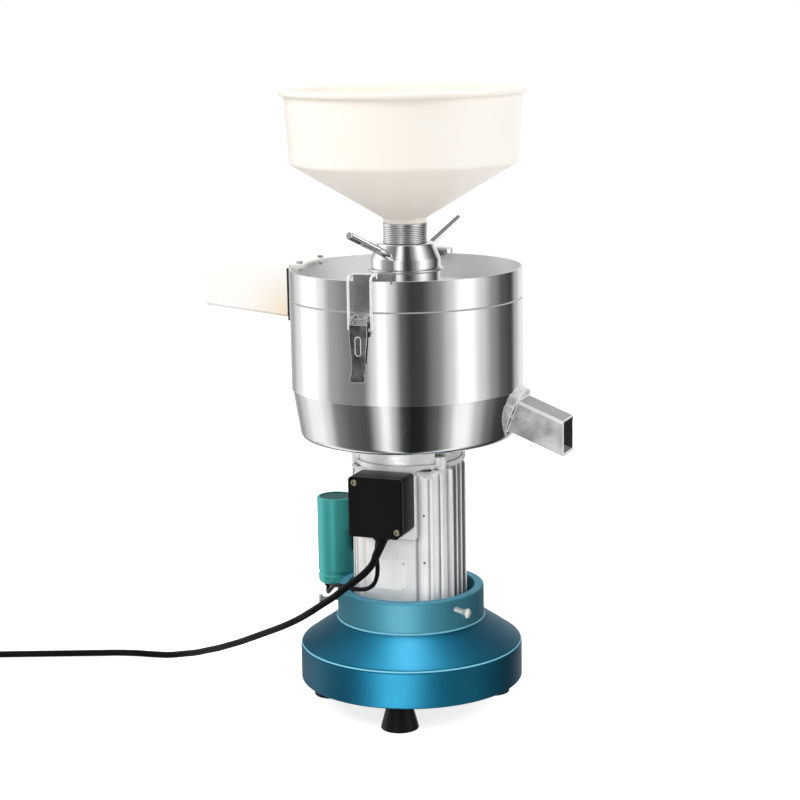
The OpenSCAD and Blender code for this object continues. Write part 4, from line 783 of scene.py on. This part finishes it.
def makeSetScrews(p):
    bm = bmesh.new()
    for angle, tip in p["screws"]:
        addTo(bm, setScrew(p, p["headAt"] - tip),
              turned(angle, "Z") @ at(p["headAt"], 0, p["high"]) @ turned(90, "Y"))
    keepPiece(bm, "motorSetScrews", paleZinc, "motor_set_screws", sharp=30)


makeSetScrews(setScrewLook)
print("base, feet and set screws made")


# motor

dressNode("motor_housing", "motorHousing", castAlloy, 0.6)
dressNode("upper_end_shield", "upperShield", castAlloy, 0.6)
dressNode("lower_end_shield", "lowerShield", castAlloy, 0.5)
dressNode("through_bolts", "motorBolts", zincSteel, 0.3)

plateLook = dict(
    x=-2, z=166, wide=42, high=35, face=-61, thick=0.7, sunk=0.05, edge=0.3, border=1.1, borderDeep=0.15, inset=3,
    rivet=1.5, rivetHigh=0.8, rivetIn=0.1)


def makePlate(p):
    halfWide, halfHigh, front = p["wide"] / 2, p["high"] / 2, p["face"] - p["thick"]
    bm = boxMesh((p["x"] - halfWide, front, p["z"] - halfHigh),
                 (p["x"] + halfWide, p["face"] + p["sunk"], p["z"] + halfHigh), p["edge"])
    bmesh.ops.inset_region(bm, faces=[f for f in bm.faces if f.normal.y < -0.99], thickness=p["border"] * mm,
                           depth=-p["borderDeep"] * mm)
    for sx in (-1, 1):
        for sz in (-1, 1):
            spot = at(p["x"] + sx * (halfWide - p["inset"]), front + p["rivetIn"],
                      p["z"] + sz * (halfHigh - p["inset"]))
            addTo(bm, domeScrew(p["rivet"], p["rivetHigh"], 0), spot @ turned(90, "X"), tint=1)
    keepPiece(bm, "barePlate", platePaint, extra=[zincSteel])


makePlate(plateLook)

markLook = dict(x=38.9, y=-55, z=[181.7, 236], radius=1.25, deep=0.5, proud=0.06)


def makeMarks(p):
    # two drilled marks beside a fin
    bm = bmesh.new()
    for z in p["z"]:
        mark = spunMesh([(0, -p["deep"]), (p["radius"], -p["deep"]), (p["radius"], p["proud"]), (0, p["proud"])],
                        steps=20)
        addTo(bm, mark, at(p["x"], p["y"], z) @ turned(90, "X"))
    keepPiece(bm, "drillMarks", gapShade)


makeMarks(markLook)
print("motor dressed")


# terminal box, gland, capacitor

dressNode("terminal_box", "terminalBox", boxPlastic, 0.8, segments=3)
dressNode("terminal_cover", "terminalCover", boxPlastic, 0.5)

coverScrewLook = dict(face=-102, radius=4, high=2, shank=2, tip=1.6, long=14)


def makeCoverScrews(p):
    bm = bmesh.new()
    low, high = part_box("cover_screws")
    inset = p["radius"] * mm
    for x, z in ((low.x + inset, high.z - inset), (high.x - inset, low.z + inset)):
        spot = Matrix.Translation((x, p["face"] * mm, z)) @ turned(90, "X")
        addTo(bm, domeScrew(p["radius"], p["high"]), spot)
        shank = spunMesh([(0, -p["long"]), (p["tip"], -p["long"]), (p["shank"], 1 - p["long"]), (p["shank"], 0),
                          (0, 0)], steps=20)
        addTo(bm, shank, spot)
    keepPiece(bm, "coverScrews", yellowZinc, "cover_screws", extra=[gapShade])


makeCoverScrews(coverScrewLook)

glandLook = dict(
    x=0, y=-85, low=212, top=219, radius=9.75, taper=2.2, taperHigh=2.4, tilt=25, long=22, wide=5.2, thin=4.6,
    ribs=6, ribFrom=2, ribStep=3, ribShape=[(0, 0), (-0.5, 0.5), (-0.45, 1.1), (0.1, 1.6)], over=1.5)


def makeGland(p):
    bm = spunMesh([(0, p["low"]), (p["radius"] - p["taper"], p["low"]), (p["radius"], p["low"] + p["taperHigh"]),
                   (p["radius"], p["top"]), (0, p["top"])], {1: 1, 2: 1}, steps=48)
    bmesh.ops.translate(bm, verts=bm.verts, vec=(p["x"] * mm, p["y"] * mm, 0))
    # the bend sleeve is ribbed and stands on the cord's first point
    ribs = [(0, 0), (p["thin"], 0)]
    for i in range(p["ribs"]):
        z = p["ribFrom"] + i * p["ribStep"]
        r = p["thin"] + (p["wide"] - p["thin"]) * z / p["long"]
        ribs += [(r + out, z + up) for out, up in p["ribShape"]]
    end = p["long"] + p["over"]
    ribs += [(p["wide"], p["long"] - 1), (p["wide"], end), (0, end)]
    addTo(bm, spunMesh(ribs, {1: 0.5}, steps=36), at(*cordPoints[0]) @ turned(p["tilt"], "Y"))
    keepPiece(bm, "cableGland", boxPlastic, "cable_gland")


makeGland(glandLook)

canLook = dict(
    x=-103.837, y=27.823, radius=22.5, low=126, high=229.5, chamfer=1.5, chamferHigh=3, groove=136, grooveHigh=5,
    grooveDeep=0.9, grooveSide=0.8, rim=2.6, disc=3.2, discDeep=1.1,
    rounds={1: 1.2, 3: 0.5, 6: 0.5, 7: 1.8, 8: 0.4, 9: 0.4}, boot=(-113.837, 21.823, 126),
    bootWay=(0.3, -0.742, -0.6), bootLong=5.5, bootIn=3, bootRadius=4.5)


def makeCan(p):
    r, sunk = p["radius"], p["radius"] - p["grooveDeep"]
    grooveTop, discTop = p["groove"] + p["grooveHigh"], p["high"] - p["discDeep"]
    bm = spunMesh([(0, p["low"]), (r - p["chamfer"], p["low"]), (r - 0.2, p["low"] + p["chamferHigh"]),
                   (r, p["groove"]), (sunk, p["groove"] + p["grooveSide"]), (sunk, grooveTop - p["grooveSide"]),
                   (r, grooveTop), (r, p["high"]), (r - p["rim"], p["high"]), (r - p["disc"], discTop),
                   (0, discTop)], p["rounds"], steps=112)
    tintFaces(bm, 1, lambda out, z: z > discTop - 0.3 and out < r - p["rim"] - 0.2)
    bmesh.ops.translate(bm, verts=bm.verts, vec=(p["x"] * mm, p["y"] * mm, 0))
    boot = spunMesh([(0, -p["bootIn"]), (p["bootRadius"], -p["bootIn"]), (p["bootRadius"], p["bootLong"]),
                     (0, p["bootLong"])], {2: 1.2}, steps=32)
    way = Vector(p["bootWay"]).to_track_quat("Z", "Y").to_matrix().to_4x4()
    addTo(bm, boot, at(*p["boot"]) @ way, tint=2)
    keepPiece(bm, "capacitorCan", tealFilm, "capacitor", extra=[tealDisc, cordJacket])


makeCan(canLook)
dressNode("capacitor_clip", "capacitorClip", boxPlastic, 0.3)
print("electrics made")


# drum, lid and what is on them

drumLook = dict(outer=131, sheet=2, low=373, top=473.5, windowHalf=39, windowHigh=20, rounds={1: 0.3, 2: 0.3})
bowlLook = dict(
    floorRadius=122, topRadius=130, low=317, top=373, wall=5, trim=0.8, rounds={1: 6, 7: 3}, lipOuter=128.95,
    lipInner=125.45, lipHigh=6, bossRadius=30, bossTop=345, shaftHole=11, seal=18.05, sealDeep=10,
    mouthLow=(-86, -16.5, -16), mouthHigh=(20, 16.5, 16))
lidLook = dict(
    low=475, top=508, plate=2.5, hole=30, tabs=[-14, 14], tabIn=115, tabOut=129.5, tabHalf=6.5, tabThick=2,
    tabEdge=0.4, rounds={1: 0.3, 2: 0.7, 3: 0.8, 4: 2})
gasketLook = dict(inner=126, outer=130.6, rounds={1: 0.3, 2: 0.3})
# worn is the height above which the spout's sides carry a painted highlight
spoutLook = dict(
    mouth=(190, 0, 325.4), slope=21.5, halfWide=17.3, halfHigh=16.8, root=-58, edge=0.9, worn=15, disc=28, earAt=25,
    ear=10.5, flange=29.5)
spoutPlace = at(*spoutLook["mouth"]) @ turned(spoutLook["slope"], "Y")


def makeDrum(p):
    inner = p["outer"] - p["sheet"]
    bm = spunMesh([(inner, p["low"]), (p["outer"], p["low"]), (p["outer"], p["top"]), (inner, p["top"])],
                  p["rounds"], steps=256)
    piece = keepPiece(bm, "drumWall", drumSteel, "drum_wall")
    cutAway(piece, boxMesh((-p["outer"] - 5, -p["windowHalf"], p["top"] - p["windowHigh"]),
                           (-p["outer"] / 2, p["windowHalf"], p["top"] + 5)))


def makeBowl(p):
    lipTop, floorTop, sealLow = p["top"] + p["lipHigh"], p["low"] + p["wall"], p["bossTop"] - p["sealDeep"]
    bm = spunMesh([(p["shaftHole"], p["low"]), (p["floorRadius"] - p["trim"], p["low"]), (p["topRadius"], p["top"]),
                   (p["lipOuter"], p["top"]), (p["lipOuter"], lipTop), (p["lipInner"], lipTop),
                   (p["topRadius"] - p["wall"], p["top"]), (p["floorRadius"] - p["wall"], floorTop),
                   (p["bossRadius"], floorTop), (p["bossRadius"], p["bossTop"]), (p["seal"], p["bossTop"]),
                   (p["seal"], sealLow), (p["shaftHole"], sealLow)], p["rounds"], steps=256)
    piece = keepPiece(bm, "drumBowl", bowlSteel, "drum_bowl")
    mouth = boxMesh(p["mouthLow"], p["mouthHigh"])
    bmesh.ops.transform(mouth, matrix=spoutPlace, verts=mouth.verts)
    cutAway(piece, mouth)


def makeLid(p):
    outer, inner, plateTop = drumLook["outer"], drumLook["outer"] - drumLook["sheet"], p["low"] + p["plate"]
    bm = spunMesh([(p["hole"], p["low"]), (outer, p["low"]), (outer, p["top"]), (inner, p["top"]), (inner, plateTop),
                   (p["hole"], plateTop)], p["rounds"], steps=256)
    for angle in p["tabs"]:
        tab = boxMesh((-p["tabOut"], -p["tabHalf"], p["top"] - p["tabThick"]),
                      (-p["tabIn"], p["tabHalf"], p["top"]), p["tabEdge"])
        addTo(bm, tab, turned(angle, "Z"))
    tintFaces(bm, 1, lambda out, z: out < inner + 0.5 and z > p["low"] + 1)
    keepPiece(bm, "drumLid", drumSteel, "lid", extra=[lidSatin], mirrored=False)


def makeGasket(p):
    low, top = drumLook["top"], lidLook["low"]
    bm = spunMesh([(p["inner"], low), (p["outer"], low), (p["outer"], top), (p["inner"], top)], p["rounds"],
                  steps=200)
    keepPiece(bm, "lidGasket", sealRubber, "lid_gasket")


makeDrum(drumLook)
makeBowl(bowlLook)
makeLid(lidLook)
makeGasket(gasketLook)

bossLook = dict(
    foot=55, footHigh=6, low=477.5, sleeve=38.5, flange=42.2, flangeHigh=2.2, neckDown=3, top=507, bore=24.88,
    rounds={2: 1.6, 3: 2.2, 4: 0.4, 5: 0.5, 6: 0.6})


def makeBoss(p):
    footTop = p["low"] + p["footHigh"]
    bm = spunMesh([(p["bore"], p["low"]), (p["foot"], p["low"]), (p["foot"], footTop), (p["sleeve"], footTop),
                   (p["sleeve"], p["top"] - p["neckDown"]), (p["flange"], p["top"] - p["flangeHigh"]),
                   (p["flange"], p["top"]), (p["bore"], p["top"])], p["rounds"], steps=160)
    keepPiece(bm, "lidBoss", turnedSteel, "lid_boss")


makeBoss(bossLook)
dressNode("boss_bolts", "bossBolts", zincSteel, 0.3)

collarLook = dict(
    low=507.3, foot=39.2, footHigh=10.5, chamfer=0.4, chamferHigh=1, topRadius=31.5, top=535, bore=24.88,
    rounds={3: 1.6, 4: 1.2, 5: 0.6})


def makeCollar(p):
    bm = spunMesh([(p["bore"], p["low"]), (p["foot"] - p["chamfer"], p["low"]),
                   (p["foot"], p["low"] + p["chamferHigh"]), (p["foot"], p["low"] + p["footHigh"]),
                   (p["topRadius"], p["top"]), (p["bore"], p["top"])], p["rounds"], steps=176)
    keepPiece(bm, "adjustingCollar", chrome, "adjusting_collar", "collar")


makeCollar(collarLook)

handleLook = dict(thick=9, root=30, reach=106.5, slope=22.4, entryRadius=37, entryHigh=525.2, angle=76.3, tip=2.2)


def makeHandles(p):
    slope, half = math.radians(p["slope"]), p["thick"] / 2
    rise = (p["entryRadius"] - p["root"]) * math.tan(slope)
    long = (p["reach"] - p["root"]) / math.cos(slope)
    bm = bmesh.new()
    for turn in (0, 180):
        rod = spunMesh([(0, 0), (half, 0), (half, long), (0, long)], {2: p["tip"]}, steps=48)
        addTo(bm, rod, turned(p["angle"] + turn, "Z") @ at(p["root"], 0, p["entryHigh"] - rise)
              @ turned(90 - p["slope"], "Y"))
    keepPiece(bm, "collarHandles", chrome, "adjusting_handles", "collar")


makeHandles(handleLook)

# turn is one turn of the thread, as shares of its depth and its pitch
tubeLook = dict(
    outer=24.8, bore=19.6, low=436, flange=48, flangeHigh=8, top=557, threadLow=478, plainTop=3, pitch=2, deep=0.6,
    turn=[(1, 0.45), (1, 0.55), (0, 0.9), (0, 1)], rounds={2: 1})


def threadedSteel(name, slot, **look):
    # painted shade: dark lines in the roots of the thread
    finish = Finish(name, slot, {"Metallic": 1})
    turns = finish.maths("FRACT", (finish.axes().of("Z") - look["low"] * mm) / (look["pitch"] * mm))
    root = finish.band(finish.maths("ABSOLUTE", turns - 0.5), 0.12, 0.34)
    worn = finish.noise(220, 3, stretch=(1, 1, 0.4))
    finish.set({"Base Color": finish.blendColour(root, look["dark"], look["light"]),
                "Roughness": finish.sheen(worn, look["rough"], 0.05, 0.1)})
    return finish


threadSteel = threadedSteel(
    "threadSteel", "machined_steel", light=grey(0.96), dark=grey(0.42), low=tubeLook["threadLow"],
    pitch=tubeLook["pitch"], rough=0.34)


def makeTube(p):
    crest, flangeTop, z = p["outer"], p["low"] + p["flangeHigh"], p["threadLow"]
    points = [(p["bore"], p["low"]), (p["flange"], p["low"]), (p["flange"], flangeTop), (crest, flangeTop),
              (crest, z)]
    while z < p["top"] - p["plainTop"]:
        points += [(crest - p["deep"] * deep, z + p["pitch"] * up) for deep, up in p["turn"]]
        z += p["pitch"]
    points += [(crest, p["top"]), (p["bore"], p["top"])]
    keepPiece(spunMesh(points, p["rounds"], steps=128), "feedTube", threadSteel, "feed_tube", "feed")


makeTube(tubeLook)

hopperLook = dict(
    spigot=19.2, throat=16.5, low=537.3, neckLow=557.3, neckTop=562.3, neck=24.2, coneTop=624.3, coneRadius=127,
    top=700.3, topRadius=131.7, wall=3, bead=3.2)


def makeHopper(p):
    lean = (p["coneTop"] - p["neckTop"]) / (p["coneRadius"] - p["neck"])
    slack = p["wall"] * math.sqrt(1 + lean * lean) / lean
    innerNeck = p["neckTop"] + (p["throat"] + slack - p["neck"]) * lean
    beadOut, beadMiddle = p["topRadius"] + p["bead"], p["top"] + p["bead"] - 1
    points = [(p["throat"], p["low"]), (p["spigot"], p["low"]), (p["spigot"], p["neckLow"]),
              (p["neck"], p["neckLow"]), (p["neck"], p["neckTop"]), (p["coneRadius"], p["coneTop"]),
              (p["topRadius"], p["top"])]
    for angle in range(-75, 90, 15):
        turn = math.radians(angle)
        points.append((beadOut + p["bead"] * math.cos(turn), beadMiddle + p["bead"] * math.sin(turn)))
    points += [(beadOut, beadMiddle + p["bead"]), (p["topRadius"] - p["wall"], beadMiddle + p["bead"]),
               (p["coneRadius"] - p["wall"], p["coneTop"] + 2), (p["throat"], max(p["neckLow"], innerNeck + 0.5))]
    last = len(points) - 1
    bm = spunMesh(points, {3: 0.8, 4: 1.5, 5: 3, last - 2: 1.2, last - 1: 3, last: 3}, steps=224)
    keepPiece(bm, "hopperShell", milkPlastic, "hopper", "hopper", mirrored=False)


makeHopper(hopperLook)
print("drum, lid, feed and hopper made")


# spout, chute, latches

def makeSpout(p):
    bm = nodeCopy("milk_spout", p["edge"], 3, rim=3)
    home = spoutPlace.inverted()
    # the flange is round in the photograph, so its outline with two ears is drawn in to a circle
    for vert in bm.verts:
        spot = home @ vert.co / mm
        out = spot.yz.length
        if spot.x < p["root"] and out > p["disc"] - 1:
            aside, level = abs(spot.y) / out, abs(spot.z) / out
            edge = p["disc"]
            if p["earAt"] * level < p["ear"]:
                edge = max(edge, p["earAt"] * aside + math.sqrt(p["ear"] ** 2 - (p["earAt"] * level) ** 2))
            if level > 0 and p["ear"] / level * aside < p["earAt"]:
                edge = max(p["disc"], p["ear"] / level)
            share = (out + p["flange"] - edge) / out
            vert.co = spoutPlace @ (Vector((spot.x, spot.y * share, spot.z * share)) * mm)
    # a painted highlight along its upper edge and its broken edges
    bmesh.ops.bisect_plane(bm, geom=bm.verts[:] + bm.edges[:] + bm.faces[:],
                           plane_co=spoutPlace @ Vector((0, 0, p["worn"] * mm)),
                           plane_no=spoutPlace.to_3x3() @ Vector((0, 0, 1)))
    for face in bm.faces:
        spot = home @ face.calc_center_median() / mm
        way = home.to_3x3() @ face.normal
        # painted shade: inside the tube the steel is near black
        if abs(spot.y) < p["halfWide"] and abs(spot.z) < p["halfHigh"] and spot.x < -0.6:
            face.material_index = 2
        # painted shade: the top face is darker
        elif way.z > 0.8 and spot.z > p["halfHigh"] and spot.x > p["root"] and face.material_index == 0:
            face.material_index = 1
        # painted highlight: the sides' upper band
        elif abs(way.y) > 0.8 and spot.z > p["worn"] and spot.x > p["root"]:
            face.material_index = 3
    keepPiece(bm, "milkSpout", rawSteel, "milk_spout", sharp=copySharp, extra=[dullSteel, wetSteel, spoutEdge],
              mirrored=False)


makeSpout(spoutLook)
dressNode("spout_screws", "spoutScrews", zincSteel, 0.4, mirrored=False)

chuteLook = dict(edge=0.6, edgeFrom=50, flange=134.2, below=507)


def makeChute(p):
    bm = nodeCopy("residue_chute", p["edge"], angle=p["edgeFrom"])
    # painted shadow: the flange faces beside the drum are black
    tintFaces(bm, 1, lambda out, z: out < p["flange"] and z < p["below"])
    keepPiece(bm, "residueChute", creamPlastic, "residue_chute", sharp=copySharp, extra=[nylonBlack], mirrored=False)


makeChute(chuteLook)
dressNode("chute_screws", "chuteScrews", zincSteel, 0.3)
for side in ("front", "rear"):
    lever, bail = side + "_lever", side + "_bail"
    # the broken edges of the latch bases and levers carry a painted highlight
    dressNode(side + "_latch_base", side + "LatchBase", zincSteel, 0.35, rim=1, extra=[latchEdge], mirrored=False)
    dressNode(lever, side + "Lever", latchNickel, 0.6, lever, rim=1, extra=[latchEdge], mirrored=False)
    dressNode(bail, side + "Bail", wireSteel, 0, bail, mirrored=False)
dressNode("latch_pins", "latchPins", zincSteel, 0.2, mirrored=False)
dressNode("latch_keepers", "latchKeepers", lugIron, 0.2, mirrored=False)
print("spout, chute and latches made")


# what stays as it was packed gets its finish

packedFinish = {"foot_bolts": zincSteel, "stator_core": coreSteel, "stator_windings": copperWire,
                "lower_bearing": chrome, "upper_bearing": chrome, "terminal_block": platePaint,
                "drum_bolts": zincSteel, "shaft_seal": footRubber, "residue_shelf": drumSteel,
                "motor_shaft": turnedSteel, "rotor_core": castAlloy, "cooling_fan": boxPlastic,
                "sieve_basket": drumSteel, "lower_stone": grindStone, "stone_nut": zincSteel,
                "upper_stone": grindStone, "stone_screws": zincSteel}
for node, finish in packedFinish.items():
    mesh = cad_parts[node].data
    mesh.materials.clear()
    mesh.materials.append(finish.material)

# the linked lamps find their pieces
for lamp, names in linkedLamps:
    group = bpy.data.collections.new(lamp.name + "Only")
    for name in names:
        group.objects.link(bpy.data.objects[name])
    lamp.light_linking.receiver_collection = group
    lamp.light_linking.blocker_collection = group

low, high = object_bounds()
